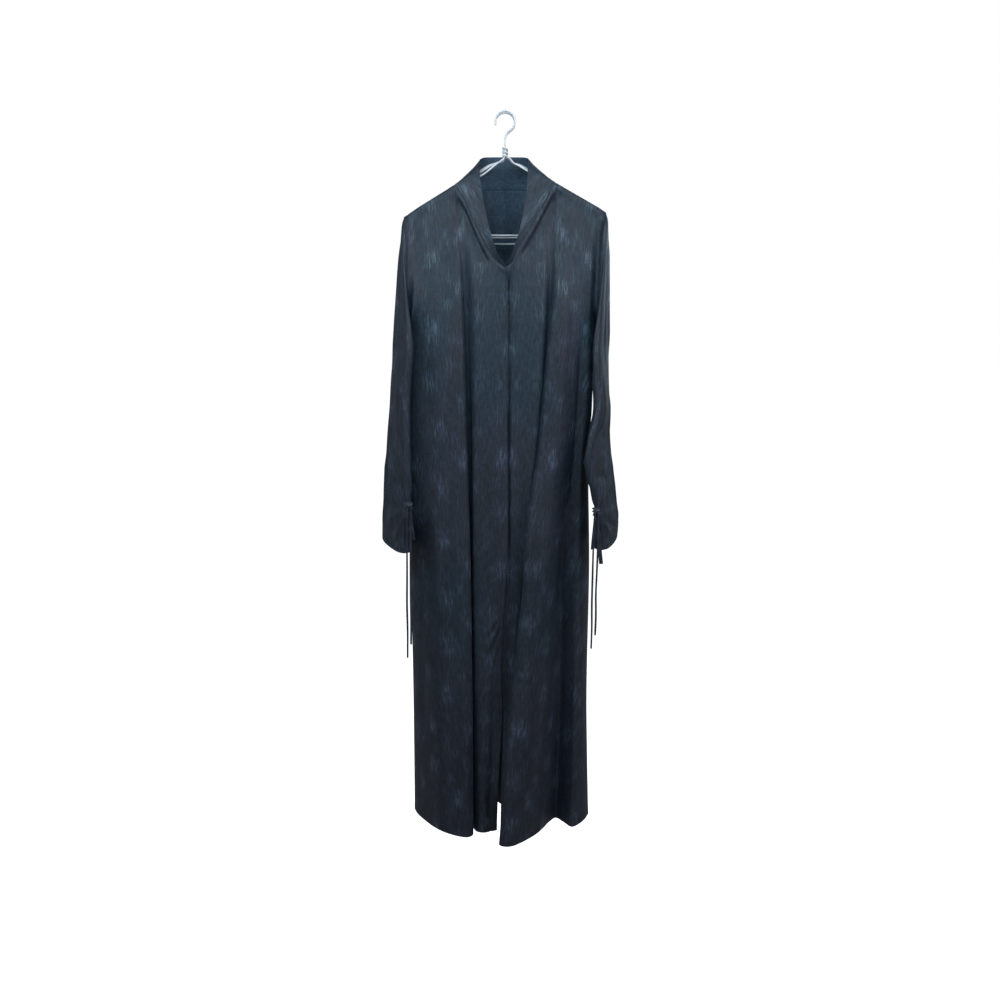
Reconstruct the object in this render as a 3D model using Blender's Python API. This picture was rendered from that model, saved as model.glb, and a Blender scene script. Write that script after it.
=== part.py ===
"""Full-length abaya cloak, hung on three coated wire hangers.

Metres, +Z up. The origin is the inside top of the middle hanger's hook, where a rail would
carry it. The front faces -Y and +X is the wearer's left. Tables are in millimetres.
"""

import math
from collections import namedtuple

import bmesh
import bpy
from mathutils import Vector

MM = 0.001

# Cloth
WALL = 2.0 * MM
SEAM_GAP = 0.3 * MM
MITER_LIMIT = 0.7
UNDERARM_Z = -0.420
HEM_Z = -1.540

# Hangers: wire, spacing along the rail, hook and neck
WIRE_R = 1.8 * MM
HANGER_PITCH = 12.6 * MM
HOOK_R = 20.0 * MM
ROOT_Z = -0.096
NECK_BEND = 0.030
SLOPE_RIGHT = 0.600
SLOPE_LEFT = 0.555
ARM_END_X = 0.185
HUMP_REACH = 0.090
TIP_BEND_R = 0.015
WRAP_TURNS = 2.25
WRAP_SIDES = 8
WRAP_LENGTH = 0.016

# Neck point, shoulder tip and armhole
NECK_POINT_X = 0.1045
TIP_X = 0.208
CREST_RISE = 4.0 * MM
ARMHOLE_HALF_DEPTH = 0.042
ARMHOLE_POWER = 2.6
ARMHOLE_LEAN_RIGHT = 0.005
ARMHOLE_LEAN_LEFT = 0.016
UNDERARM_FLARE_RUN = 0.012
UNDERARM_LEAN = 0.20

# Press studs and ties
STUD_R = 4.8 * MM
STUD_RIM = 1.1 * MM
STUD_INSET = 7.5 * MM
STUD_PLAY = 0.3 * MM
KNOT_R = 7.0 * MM
LOOP_WIDTH = 9.0 * MM
TAIL_D = 6.0 * MM

LEVELS = (UNDERARM_Z, -0.680, -0.940, -1.260, HEM_Z)

# A fold is a line down the cloth. top is its place on the neck and shoulder edge, columns is
# how many strips of mesh lead to the next fold, and x, y give it at each of the LEVELS.
Fold = namedtuple("Fold", "name columns top x0 y0 x1 y1 x2 y2 x3 y3 x4 y4")

FRONT_RIGHT_FOLDS = (
    Fold("edge",        3, 0.00,    1, -56,    4, -61,    3, -65,   -5, -61,  -18, -55),
    Fold("placket",     3, 0.28,  -31, -59,  -30, -65,  -32, -69,  -37, -70,  -39, -68),
    Fold("strip side",  3, 0.62,  -61, -54,  -63, -57,  -65, -60,  -65, -62,  -62, -62),
    Fold("valley in",   1, 0.92,  -76, -37,  -70, -34,  -70, -31,  -72, -29,  -76, -27),
    Fold("valley out",  2, 1.00,  -83, -35,  -79, -31,  -79, -27,  -82, -24,  -87, -20),
    Fold("lobe crest",  2, 2.00,  -91, -49,  -83, -57,  -75, -65,  -72, -75,  -71, -80),
    Fold("lobe ridge",  3, 2.25, -121, -51, -115, -59, -112, -69, -107, -79,  -98, -87),
    Fold("lobe flank",  5, 2.62, -155, -43, -158, -46, -160, -48, -159, -48, -154, -45),
    Fold("side",        0, 3.00, -197,   0, -203,   4, -205,  14, -205,  34, -207,  52),
)

FRONT_LEFT_FOLDS = (
    Fold("edge",        2, 0.00,  -14, -50,  -11, -55,  -12, -59,    0, -69,  -10, -95),
    Fold("lap",         2, 0.18,    8, -49,    9, -54,    7, -57,    6, -59,    1, -92),
    Fold("strip",       3, 0.50,   45, -53,   36, -56,   24, -58,   20, -61,   14, -87),
    Fold("strip side",  2, 0.86,   72, -47,   58, -50,   41, -53,   30, -57,   23, -81),
    Fold("valley in",   1, 0.94,   87, -37,   72, -34,   56, -36,   38, -50,   33, -73),
    Fold("valley out",  2, 1.00,   94, -36,   79, -34,   64, -39,   46, -56,   42, -80),
    Fold("swag crest",  3, 2.00,  102, -47,   80, -56,   44, -73,    9, -96,  -12, -120),
    Fold("swag ridge",  3, 2.30,  123, -54,  102, -67,   69, -87,   39, -110,  15, -132),
    Fold("swag flank",  3, 2.46,  140, -47,  125, -53,  101, -62,   86, -67,   69, -75),
    Fold("low valley",  2, 2.64,  157, -37,  145, -29,  126, -21,  121, -10,  116,   6),
    Fold("side lobe",   3, 2.82,  176, -33,  164, -34,  157, -34,  154, -36,  151, -40),
    Fold("side",        0, 3.00,  193,   0,  179,   4,  184,  11,  183,  18,  191,  26),
)

BACK_FOLDS = (
    Fold("right side",  3, 0.00, -197,   0, -203,   4, -205,  14, -205,  34, -207,  52),
    Fold("right flank", 3, 0.40, -166,  30, -166,  40, -165,  52, -162,  72, -158,  90),
    Fold("ridge 1",     3, 0.70, -128,  40, -124,  54, -120,  70, -115,  92, -110, 114),
    Fold("valley 1",    2, 1.00,  -97,  38,  -90,  42,  -84,  48,  -79,  56,  -74,  64),
    Fold("slope 1",     2, 2.00,  -82,  41,  -76,  46,  -71,  54,  -66,  66,  -60,  80),
    Fold("ridge 2",     3, 2.35,  -58,  45,  -50,  56,  -46,  74,  -42,  96,  -38, 120),
    Fold("valley 2",    3, 2.90,  -14,  46,   -9,  49,   -4,  54,    2,  60,    7,  66),
    Fold("ridge 3",     3, 3.35,   32,  46,   34,  58,   38,  76,   42, 100,   47, 124),
    Fold("valley 3",    2, 4.00,   76,  42,   78,  44,   80,  48,   84,  54,   88,  60),
    Fold("slope 4",     2, 5.00,   94,  40,   95,  45,   96,  54,   97,  66,   98,  80),
    Fold("ridge 4",     3, 5.30,  128,  38,  122,  50,  121,  66,  120,  86,  119, 106),
    Fold("left flank",  3, 5.60,  163,  29,  156,  36,  154,  46,  155,  58,  158,  70),
    Fold("left side",   0, 6.00,  193,   0,  179,   4,  184,  11,  183,  18,  191,  26),
)

# Where the neck edge runs, with the collar's free edge beside each of its points. The first
# row of a front is its V point, the last lies just in front of the hangers' arms.
Neck = namedtuple("Neck", "x y z free_x free_y free_z")

NECK_RIGHT = (
    Neck(0.0, -54, -310, -4, -56.5, -303.0),
    Neck(-23, -48, -290, -15, -55, -283),
    Neck(-46, -40, -252, -29, -49, -243),
    Neck(-63, -33, -217, -38.5, -41, -204),
    Neck(-80, -25, -178, -46, -32, -166),
    Neck(-97.5, -17.2, -147.5, -51, -22.5, -132),
)
NECK_LEFT = (
    Neck(-11, -44.5, -311, -10, -46.5, -305.5),
    Neck(11, -45, -301, 6, -50, -298),
    Neck(30, -41, -263, 22, -47, -259),
    Neck(51, -35, -229, 32.5, -42, -223),
    Neck(77, -26, -184, 42, -32, -168),
    Neck(97.5, -17.2, -144.5, 46, -22.5, -127),
)
NECK_BACK = (
    Neck(-97.5, 17.2, -147.5, -51, 15, -90),
    Neck(-80, 27, -150, -43, 26, -85),
    Neck(-45, 39, -149, -27, 33, -83.5),
    Neck(0, 45, -148, 0, 36, -83),
    Neck(45, 39, -149, 26, 33, -83.5),
    Neck(80, 27, -149, 41, 26, -85),
    Neck(97.5, 17.2, -144.5, 48, 15, -89),
)
# The collar's free edge beside the shoulder seams, over the hangers' arms
FREE_AT_ARM = {"right_front": (-51.5, -13.5, -106), "right": (-51.5, 2, -97),
               "right_back": (-51.5, 9, -93), "left_front": (47, -13.5, -104),
               "left": (48, 2, -95), "left_back": (48.5, 9, -92)}
# The place, along a front's top, where its neck edge ends and its shoulder begins
FRONT_NECK_END = 2.0
OVER_ARM_X = 0.101
OVER_ARM_Y = 15.0 * MM
COLLAR_BULGE = 0.08

# The edges of the lapped fronts, down from the V point: the right front lies outside
Lap = namedtuple("Lap", "z over_x over_y under_x under_y")
OPENING = (
    Lap(-310, 0, -54, -11, -44.5),
    Lap(-345, 0.5, -55, -13.5, -48.5),
    Lap(-420, 1, -56, -14, -50),
    Lap(-680, 4, -61, -11, -55),
    Lap(-940, 3, -65, -12, -59),
    Lap(-1050, -4, -64, -18, -58),
    Lap(-1150, -8, -63, -17, -56),
    Lap(-1260, -6, -63, -14, -54),
    Lap(-1400, -13, -67, -7, -60),
    Lap(-1540, -18, -55, -10, -95),
)

# Rows of mesh below the underarm; a press stud sits on each of the STUD_ROWS
LOWER_ROWS = (-0.432, -0.460, -0.520, -0.600, -0.695, -0.780, -0.865, -0.955, -1.047,
              -1.100, -1.170, -1.260, -1.400, HEM_Z)
STUD_ROWS = (-0.520, -0.695, -0.865, -1.047)
ARMHOLE_ANGLES = (38.0, 62.0, 88.0, 115.0, 140.0, 162.0, 180.0)
TOP_STUD_ROW = 4

# Sleeve rings below the armhole: the front and back ends of a flattened tube, its half
# thickness, and how much the ring rises towards the back
Ring = namedtuple("Ring", "z front_x front_y back_x back_y half rise")

SLEEVE_RIGHT_RINGS = (
    Ring(-470, -195, -74, -234, 48, 12, 0.00),
    Ring(-540, -201, -76, -240, 48, 13, 0.00),
    Ring(-610, -204, -77, -245, 47, 13, 0.00),
    Ring(-670, -204, -77, -250, 46, 14, 0.00),
    Ring(-720, -203, -76, -254, 45, 14, 0.00),
    Ring(-760, -203, -74, -257, 44, 13, 0.00),
    Ring(-785, -204, -73, -259, 44, 12, 0.00),
    Ring(-806, -204, -72, -261, 44, 11, 0.02),
    Ring(-835, -206, -71, -262, 46, 14, 0.05),
    Ring(-868, -208, -70, -263, 48, 17, 0.08),
    Ring(-898, -209, -69, -262, 50, 19, 0.10),
)
SLEEVE_LEFT_RINGS = (
    Ring(-470, 186.5, -72, 219, 48, 10, 0.00),
    Ring(-540, 188, -78, 219, 46, 11, 0.00),
    Ring(-610, 190, -84, 221, 44, 12, 0.00),
    Ring(-665, 175, -91, 223, 42, 13, 0.00),
    Ring(-705, 170, -93, 227, 41, 13, 0.00),
    Ring(-745, 176, -88, 230, 41, 13, 0.00),
    Ring(-780, 188, -79, 235, 41, 12, 0.00),
    Ring(-812, 194, -72, 240, 42, 11, 0.02),
    Ring(-840, 198, -70, 243, 45, 14, 0.05),
    Ring(-866, 200, -69, 242, 48, 17, 0.08),
    Ring(-890, 201, -68, 238, 50, 19, 0.12),
)
CAP_STEPS = (0.10, 0.24, 0.46, 0.72)
CAP_REACH = 0.045
SLEEVE_LEAN = 1.0
RING_BLUNTNESS = 0.62
CAP_FALL = 0.10

# Hangers: how far the arms hump or dip near the neck, and where the bar lies
Hanger = namedtuple("Hanger", "name y hump_right hump_left bar_z bar_sag")
HANGERS = (
    Hanger("hanger_front", -HANGER_PITCH, -9, -3, -245.0, 0.0),
    Hanger("hanger_middle", 0.0, 0, 0, -249.2, 0.0),
    Hanger("hanger_rear", HANGER_PITCH, 5, 4, -259.0, 2.2),
)

# Ties: the knot, its bow loops (lean in x, drop) and the free ends' routes
KNOT_RIGHT = (-0.2012, -0.0792, -0.802)
KNOT_LEFT = (0.1914, -0.0790, -0.814)
LOOPS_RIGHT = ((-0.004, 0.082), (0.008, 0.074))
LOOPS_LEFT = ((-0.006, 0.080), (0.012, 0.112))
TAILS = {
    "tie_right_tail_1": ((-0.2045, -0.0884, -0.804), (-0.2050, -0.0904, -0.835),
                         (-0.2058, -0.0909, -0.890), (-0.2066, -0.0889, -0.950),
                         (-0.2074, -0.0915, -1.010), (-0.2068, -0.0925, -1.070),
                         (-0.2075, -0.0940, -1.128)),
    "tie_right_tail_2": ((-0.1975, -0.0882, -0.804), (-0.1972, -0.0902, -0.832),
                         (-0.1978, -0.0917, -0.880), (-0.1990, -0.0907, -0.940),
                         (-0.1996, -0.0892, -0.995), (-0.1989, -0.0940, -1.045),
                         (-0.1996, -0.0955, -1.098)),
    "tie_left_tail_1": ((0.1880, -0.0881, -0.816), (0.1868, -0.0901, -0.846),
                        (0.1852, -0.0916, -0.900), (0.1846, -0.0906, -0.955),
                        (0.1838, -0.0930, -1.010), (0.1844, -0.0925, -1.062),
                        (0.1836, -0.0935, -1.108)),
    "tie_left_tail_2": ((0.1950, -0.0880, -0.816), (0.1952, -0.0900, -0.846),
                        (0.1946, -0.0920, -0.895), (0.1934, -0.0915, -0.945),
                        (0.1922, -0.0905, -0.990), (0.1925, -0.0945, -1.035),
                        (0.1915, -0.0950, -1.078)),
}
TAIL_POINTS = 18

CREPE = ("jacquard_crepe", (0.017, 0.020, 0.028), 0.45, 0.0)
WIRE_COAT = ("coated_wire", (0.72, 0.73, 0.75), 0.35, 0.0)
STUD_METAL = ("stud_metal", (0.10, 0.10, 0.11), 0.35, 0.9)


# ---------------------------------------------------------------- curves

def mix(a, b, t):
    return a + (b - a) * t


def hermite(p0, t0, p1, t1, u):
    """A point on the cubic from p0 to p1 with end tangents t0 and t1."""
    u2, u3 = u * u, u * u * u
    return (p0 * (2 * u3 - 3 * u2 + 1) + t0 * (u3 - 2 * u2 + u)
            + p1 * (3 * u2 - 2 * u3) + t1 * (u3 - u2))


def spline(knots, values, at):
    """Smooth interpolation of numbers or vectors at rising knots."""
    last = len(knots) - 1
    at = min(max(at, knots[0]), knots[last])
    i = 0
    while i < last - 1 and at > knots[i + 1]:
        i += 1

    def slope(k):
        if k == 0:
            return (values[1] - values[0]) / (knots[1] - knots[0])
        if k == last:
            return (values[last] - values[last - 1]) / (knots[last] - knots[last - 1])
        before, after = knots[k] - knots[k - 1], knots[k + 1] - knots[k]
        left = (values[k] - values[k - 1]) / before
        right = (values[k + 1] - values[k]) / after
        return (left * after + right * before) / (before + after)

    span = knots[i + 1] - knots[i]
    return hermite(values[i], slope(i) * span, values[i + 1], slope(i + 1) * span,
                   (at - knots[i]) / span)


def across(before, start, end, after, u):
    """A point between two folds, smooth through their neighbours."""
    return hermite(start, (end - before) * 0.5, end, (after - start) * 0.5, u)


# ---------------------------------------------------------------- shoulders and armholes

def slope_at(x):
    return SLOPE_LEFT if x > 0 else SLOPE_RIGHT


def arm_z(x):
    """Height of a hanger's arm: level at the neck, then a straight fall."""
    run = abs(x)
    if run < NECK_BEND:
        return ROOT_Z - slope_at(x) * run * run / (2 * NECK_BEND)
    return ROOT_Z - slope_at(x) * (run - NECK_BEND / 2)


def shoulder_point(x):
    return Vector((x, 0.0, arm_z(x) + CREST_RISE))


def shoulder_normal(side):
    return Vector((side * slope_at(side), 0.0, 1.0)).normalized()


def over_arm_normal(side, face):
    return (shoulder_normal(side) + Vector((0.0, face * 0.6, 0.0))).normalized()


def signed_power(value, power):
    return math.copysign(abs(value) ** power, value)


def armhole(side, angle):
    """The armhole loop: 0 at the shoulder tip, 90 at the front, 180 at the underarm."""
    tip = shoulder_point(side * TIP_X)
    half_height = (tip.z - UNDERARM_Z) / 2
    power = 2 / ARMHOLE_POWER
    c, s = math.cos(angle), math.sin(angle)
    lean = ARMHOLE_LEAN_LEFT if side > 0 else ARMHOLE_LEAN_RIGHT
    x = TIP_X - lean * (1 - c) / 2 - 0.003 * s * s
    return Vector((side * x, -ARMHOLE_HALF_DEPTH * signed_power(s, power),
                   tip.z - half_height + half_height * signed_power(c, power)))


def armhole_normal(side, angle):
    """Outward in the loop's plane, leaning with the shoulder at the top and the side seam
    at the underarm."""
    step = 0.02
    along = armhole(side, angle + step) - armhole(side, angle - step)
    outward = Vector((0.0, -along.z, along.y)).normalized()
    if outward.y * -math.sin(angle) + outward.z * math.cos(angle) < 0:
        outward = -outward
    c = math.cos(angle)
    lean = slope_at(side) * max(0.0, c) ** 3 + UNDERARM_LEAN * max(0.0, -c) ** 3
    return (outward + Vector((side * lean, 0.0, 0.0))).normalized()


def angle_at_depth(depth):
    """The armhole angle at which the loop is this far in front of the shoulder seam."""
    return math.asin((depth / ARMHOLE_HALF_DEPTH) ** (ARMHOLE_POWER / 2))


CREST_FRONT_Y = OVER_ARM_Y + 2.0 * MM
CREST_DROP = 4.3 * MM
CREST_ANGLES = (0.0, angle_at_depth(OVER_ARM_Y), angle_at_depth(CREST_FRONT_Y))
ROW_ANGLES = CREST_ANGLES + tuple(math.radians(a) for a in ARMHOLE_ANGLES)


# ---------------------------------------------------------------- body panels

def neck_point(table, place):
    """A point of the neck edge; place runs over the rows of the table."""
    points = [Vector((n.x, n.y, n.z)) * MM for n in table]
    return spline(range(len(points)), points, place)


def front_top(side, table, top):
    """The top edge of a front: neck edge to 1, over the arms to 2, shoulder seam to 3."""
    if top <= 1.0:
        return neck_point(table, top * (len(table) - 1))
    if top < 2.0:
        return Vector((side * OVER_ARM_X, -OVER_ARM_Y, shoulder_point(side * OVER_ARM_X).z))
    return shoulder_point(side * mix(NECK_POINT_X, TIP_X, top - 2.0))


def back_top(top):
    """The back's top edge: seam, arms, neck edge from 2 to 4, arms, seam."""
    side = -1.0 if top < 3.0 else 1.0
    reach = min(top, 6.0 - top)
    if reach <= 1.0:
        return shoulder_point(side * mix(TIP_X, NECK_POINT_X, reach))
    if reach < 2.0:
        return Vector((side * OVER_ARM_X, OVER_ARM_Y, shoulder_point(side * OVER_ARM_X).z))
    return neck_point(NECK_BACK, (top - 2.0) * (len(NECK_BACK) - 1) / 2)


def crest_steps(on_shoulder, over_arm, face):
    """The first steps of a column down from the top edge; face is -1 in front."""
    if on_shoulder:
        steps = ((0, 0), (OVER_ARM_Y, 0), (CREST_FRONT_Y, -CREST_DROP))
    elif over_arm:
        steps = ((0, 0), (1.0 * MM, -1.2 * MM), (2.1 * MM, -6.0 * MM))
    else:
        steps = ((0, 0), (0.8 * MM, -4.0 * MM), (1.5 * MM, -8.5 * MM))
    return [Vector((0.0, face * y, z)) for y, z in steps]


def fold_points(fold):
    row = [fold.x0, fold.y0, fold.x1, fold.y1, fold.x2, fold.y2,
           fold.x3, fold.y3, fold.x4, fold.y4]
    return [Vector((row[2 * i] * MM, row[2 * i + 1] * MM, z)) for i, z in enumerate(LEVELS)]


def columns_of(folds, before, after):
    """Yield, for each column of mesh, its top place, its points at the LEVELS, the fold it
    follows and how far it is on the way to the next."""
    points = [before] + [fold_points(f) for f in folds] + [after]
    for i, fold in enumerate(folds):
        steps = fold.columns
        if i == len(folds) - 1:
            yield fold.top, points[i + 1], i, 0.0
            break
        for step in range(steps):
            u = step / steps
            four = zip(points[i], points[i + 1], points[i + 2], points[i + 3])
            level_points = [across(a, b, c, d, u) for a, b, c, d in four]
            yield mix(fold.top, folds[i + 1].top, u), level_points, i, u


def column_point(start, level_points, z):
    """A point of a column between its start and the hem."""
    chain = [start] + level_points
    heights = [-p.z for p in chain]
    return spline(heights, chain, -z)


def top_share(row):
    """How far an upper row is on the way from the crest to the underarm."""
    side = 1.0
    start, here = armhole(side, ROW_ANGLES[2]).z, armhole(side, ROW_ANGLES[row]).z
    return (start - here) / (start - UNDERARM_Z)


def side_edge(side, face, level_points, row):
    """The armhole, then the side seam, which flares out to meet it."""
    if row < len(ROW_ANGLES):
        return armhole(side, -face * ROW_ANGLES[row])
    z = LOWER_ROWS[row - len(ROW_ANGLES)]
    flare = abs(armhole(side, math.pi).x) - abs(level_points[0].x)
    point = column_point(level_points[0], level_points[1:], z)
    point.x += side * flare * math.exp((z - UNDERARM_Z) / UNDERARM_FLARE_RUN)
    return point


def opening_edge(z, over):
    heights = [-lap.z * MM for lap in OPENING]
    if over:
        points = [Vector((lap.over_x, lap.over_y, lap.z)) * MM for lap in OPENING]
    else:
        points = [Vector((lap.under_x, lap.under_y, lap.z)) * MM for lap in OPENING]
    return spline(heights, points, -z)


def plain_grid(folds, before, after, top_edge, face):
    """The panel's grid, column by column, before its edges are set."""
    grid, marks = [], []
    for top, level_points, fold, u in columns_of(folds, before, after):
        on_shoulder, over_arm = top_edge(top)[1:]
        edge = top_edge(top)[0]
        steps = crest_steps(on_shoulder, over_arm, face)
        column = [edge + step for step in steps]
        start = column[-1]
        for row in range(len(steps), len(ROW_ANGLES)):
            z = mix(start.z, UNDERARM_Z, top_share(row))
            column.append(column_point(start, level_points, z))
        for z in LOWER_ROWS:
            column.append(column_point(start, level_points, z))
        grid.append(column)
        marks.append((top, fold, u, level_points))
    return grid, marks


def pull_edge(grid, marks, edge_column, targets, span_fold):
    """Move an edge column onto its true line, and the columns of one fold span with it."""
    shifts = [target - point for target, point in zip(targets, grid[edge_column])]
    for i, (_, fold, u, _) in enumerate(marks):
        if edge_column == 0:
            weight = (1.0 - u) ** 2 if fold == span_fold else 0.0
        elif i == len(marks) - 1:
            weight = 1.0
        else:
            weight = u * u if fold == span_fold else 0.0
        for row, shift in enumerate(shifts):
            grid[i][row] = grid[i][row] + shift * weight


def front_grid(side):
    """A front, from its opening edge to the side seam; side is -1 for the wearer's right."""
    folds = FRONT_RIGHT_FOLDS if side < 0 else FRONT_LEFT_FOLDS
    table = NECK_RIGHT if side < 0 else NECK_LEFT
    next_fold = BACK_FOLDS[1] if side < 0 else BACK_FOLDS[-2]
    first = fold_points(folds[0])
    second = fold_points(folds[1])
    before = [a * 2 - b for a, b in zip(first, second)]

    def top_edge(top):
        return front_top(side, table, top), top >= 2.0, 1.0 < top < 2.0

    grid, marks = plain_grid(folds, before, fold_points(next_fold), top_edge, -1.0)
    edge = [grid[0][row] if row < 3 else opening_edge(grid[0][row].z, side < 0)
            for row in range(len(grid[0]))]
    pull_edge(grid, marks, 0, edge, 0)
    seam = [side_edge(side, -1.0, marks[-1][3], row) for row in range(len(grid[0]))]
    pull_edge(grid, marks, len(grid) - 1, seam, len(folds) - 2)
    return grid, [mark[0] for mark in marks]


def back_grid():
    """The back, from the wearer's right side seam to the left."""
    def top_edge(top):
        reach = min(top, 6.0 - top)
        return back_top(top), reach <= 1.0, 1.0 < reach < 2.0

    grid, marks = plain_grid(BACK_FOLDS, fold_points(FRONT_RIGHT_FOLDS[-2]),
                             fold_points(FRONT_LEFT_FOLDS[-2]), top_edge, 1.0)
    for side, edge_column, span in ((-1.0, 0, 0), (1.0, len(grid) - 1, len(BACK_FOLDS) - 2)):
        seam = [side_edge(side, 1.0, marks[edge_column][3], row) for row in range(len(grid[0]))]
        pull_edge(grid, marks, edge_column, seam, span)
    return grid, [mark[0] for mark in marks]


# ---------------------------------------------------------------- walls

def grid_normals(grid, sign, closed=False):
    """Normals of a grid of points, halving the turn between columns; closed joins the last
    column to the first. They are longer at a sharp turn, to keep the wall's thickness."""
    wide, tall = len(grid), len(grid[0])
    normals = []
    for i in range(wide):
        left = grid[i - 1] if i > 0 or closed else grid[i]
        right = grid[(i + 1) % wide] if i < wide - 1 or closed else grid[i]
        column = []
        for j in range(tall):
            coming = (grid[i][j] - left[j]).normalized()
            going = (right[j] - grid[i][j]).normalized()
            over = (coming + going).normalized()
            down = grid[i][min(j + 1, tall - 1)] - grid[i][max(j - 1, 0)]
            miter = 1.0 / max(MITER_LIMIT, max(coming.dot(over), going.dot(over)))
            column.append((over.cross(down) * sign).normalized() * miter)
        normals.append(column)
    return normals


def share_normals(one, other):
    """Give two edges that are sewn together the same normals."""
    for row in range(len(one)):
        both = (one[row] + other[row]).normalized()
        one[row] = both
        other[row] = both.copy()


def inset_end(column, towards):
    """Draw a seam edge back by half the seam gap."""
    for j, point in enumerate(column):
        column[j] = point + (towards[j] - point).normalized() * (SEAM_GAP / 2)


def inset_top(grid):
    for column in grid:
        column[0] = column[0] + (column[1] - column[0]).normalized() * (SEAM_GAP / 2)


def wall_mesh(grid, normals, closed=False):
    """A closed wall of the cloth's thickness about a grid of points."""
    wide, tall = len(grid), len(grid[0])
    mesh = bmesh.new()
    sides = []
    for offset in (WALL / 2, -WALL / 2):
        sides.append([[mesh.verts.new(grid[i][j] + normals[i][j] * offset)
                       for j in range(tall)] for i in range(wide)])
    outer, inner = sides
    last = wide if closed else wide - 1
    for i in range(last):
        k = (i + 1) % wide
        for j in range(tall - 1):
            mesh.faces.new((outer[i][j], outer[k][j], outer[k][j + 1], outer[i][j + 1]))
            mesh.faces.new((inner[i][j], inner[i][j + 1], inner[k][j + 1], inner[k][j]))
        mesh.faces.new((outer[k][0], outer[i][0], inner[i][0], inner[k][0]))
        mesh.faces.new((outer[i][-1], outer[k][-1], inner[k][-1], inner[i][-1]))
    if not closed:
        for j in range(tall - 1):
            mesh.faces.new((outer[0][j], outer[0][j + 1], inner[0][j + 1], inner[0][j]))
            mesh.faces.new((outer[-1][j + 1], outer[-1][j], inner[-1][j], inner[-1][j + 1]))
    bmesh.ops.triangulate(mesh, faces=mesh.faces[:], quad_method="FIXED")
    bmesh.ops.recalc_face_normals(mesh, faces=mesh.faces[:])
    return mesh


# ---------------------------------------------------------------- objects

def material(spec):
    name, colour, roughness, metallic = spec
    found = bpy.data.materials.get(name)
    if found:
        return found
    made = bpy.data.materials.new(name)
    made.use_nodes = True
    shader = made.node_tree.nodes["Principled BSDF"]
    shader.inputs["Base Color"].default_value = (*colour, 1.0)
    shader.inputs["Roughness"].default_value = roughness
    shader.inputs["Metallic"].default_value = metallic
    made.diffuse_color = (*colour, 1.0)
    return made


def add_object(name, data, spec):
    piece = bpy.data.objects.new(name, data)
    bpy.context.scene.collection.objects.link(piece)
    data.materials.append(material(spec))
    return piece


def add_mesh(name, mesh, spec, smooth_angle=50.0):
    data = bpy.data.meshes.new(name)
    mesh.to_mesh(data)
    mesh.free()
    data.shade_smooth()
    data.set_sharp_from_angle(angle=math.radians(smooth_angle))
    return add_object(name, data, spec)


def add_tube(name, points, radius, resolution, spec):
    """A round tube along a list of points, with closed ends."""
    curve = bpy.data.curves.new(name, "CURVE")
    curve.dimensions = "3D"
    curve.bevel_depth = radius
    curve.bevel_resolution = resolution
    curve.use_fill_caps = True
    route = curve.splines.new("POLY")
    route.points.add(len(points) - 1)
    for knot, point in zip(route.points, points):
        knot.co = (*point, 1.0)
    return add_object(name, curve, spec)


# ---------------------------------------------------------------- sleeves

def even_angles(count):
    return [2 * math.pi * i / count for i in range(count)]


def sleeve_angles():
    """The armhole rows of the front, then those of the back, as one loop of columns."""
    return list(ROW_ANGLES) + [2 * math.pi - a for a in reversed(ROW_ANGLES[1:-1])]


def ring_point(ring, side, angle):
    front = Vector((ring.front_x, ring.front_y, 0)) * MM
    back = Vector((ring.back_x, ring.back_y, 0)) * MM
    axis = (back - front) / 2
    outward = Vector((axis.y, -axis.x, 0)).normalized() * side
    point = (front + back) / 2 - axis * math.sin(angle)
    point += outward * (ring.half * MM * signed_power(math.cos(angle), RING_BLUNTNESS))
    point.z = ring.z * MM + ring.rise * point.y
    return point


def sleeve_grid(side):
    """A sleeve: each column runs from a point of the armhole to the cuff."""
    rings = SLEEVE_RIGHT_RINGS if side < 0 else SLEEVE_LEFT_RINGS
    angles = sleeve_angles()
    even = even_angles(len(angles))
    grid = []
    for loop_angle, ring_angle in zip(angles, even):
        start = armhole(side, loop_angle)
        out = armhole_normal(side, loop_angle)
        lean = Vector((side * SLEEVE_LEAN, 0.0, -1.0))
        leave = (lean - out * lean.dot(out)).normalized() * CAP_REACH
        below = [ring_point(ring, side, ring_angle) for ring in rings]
        arrive = (below[1] - below[0]).normalized() * CAP_FALL
        column = [start]
        column += [hermite(start, leave, below[0], arrive, u) for u in CAP_STEPS]
        grid.append(column + below)
    return grid


def sleeve(side):
    grid = sleeve_grid(side)
    normals = grid_normals(grid, side, closed=True)
    for column, line, angle in zip(grid, normals, sleeve_angles()):
        line[0] = armhole_normal(side, angle)
        column[0] = column[0] + (column[1] - column[0]).normalized() * (SEAM_GAP / 2)
    name = "sleeve_right" if side < 0 else "sleeve_left"
    return add_mesh(name, wall_mesh(grid, normals, closed=True), CREPE)


# ---------------------------------------------------------------- body and collar

def free_edge(table, place):
    points = [Vector((n.free_x, n.free_y, n.free_z)) * MM for n in table]
    return spline(range(len(points)), points, place)


def front_free_edge(side, top):
    table, name = (NECK_RIGHT, "right") if side < 0 else (NECK_LEFT, "left")
    if top <= 1.0:
        return free_edge(table, top * (len(table) - 1))
    return Vector(FREE_AT_ARM[name if top >= 2.0 else name + "_front"]) * MM


def back_free_edge(top):
    if 2.0 <= top <= 4.0:
        return free_edge(NECK_BACK, (top - 2.0) * (len(NECK_BACK) - 1) / 2)
    return Vector(FREE_AT_ARM["right_back" if top < 3.0 else "left_back"]) * MM


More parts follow.
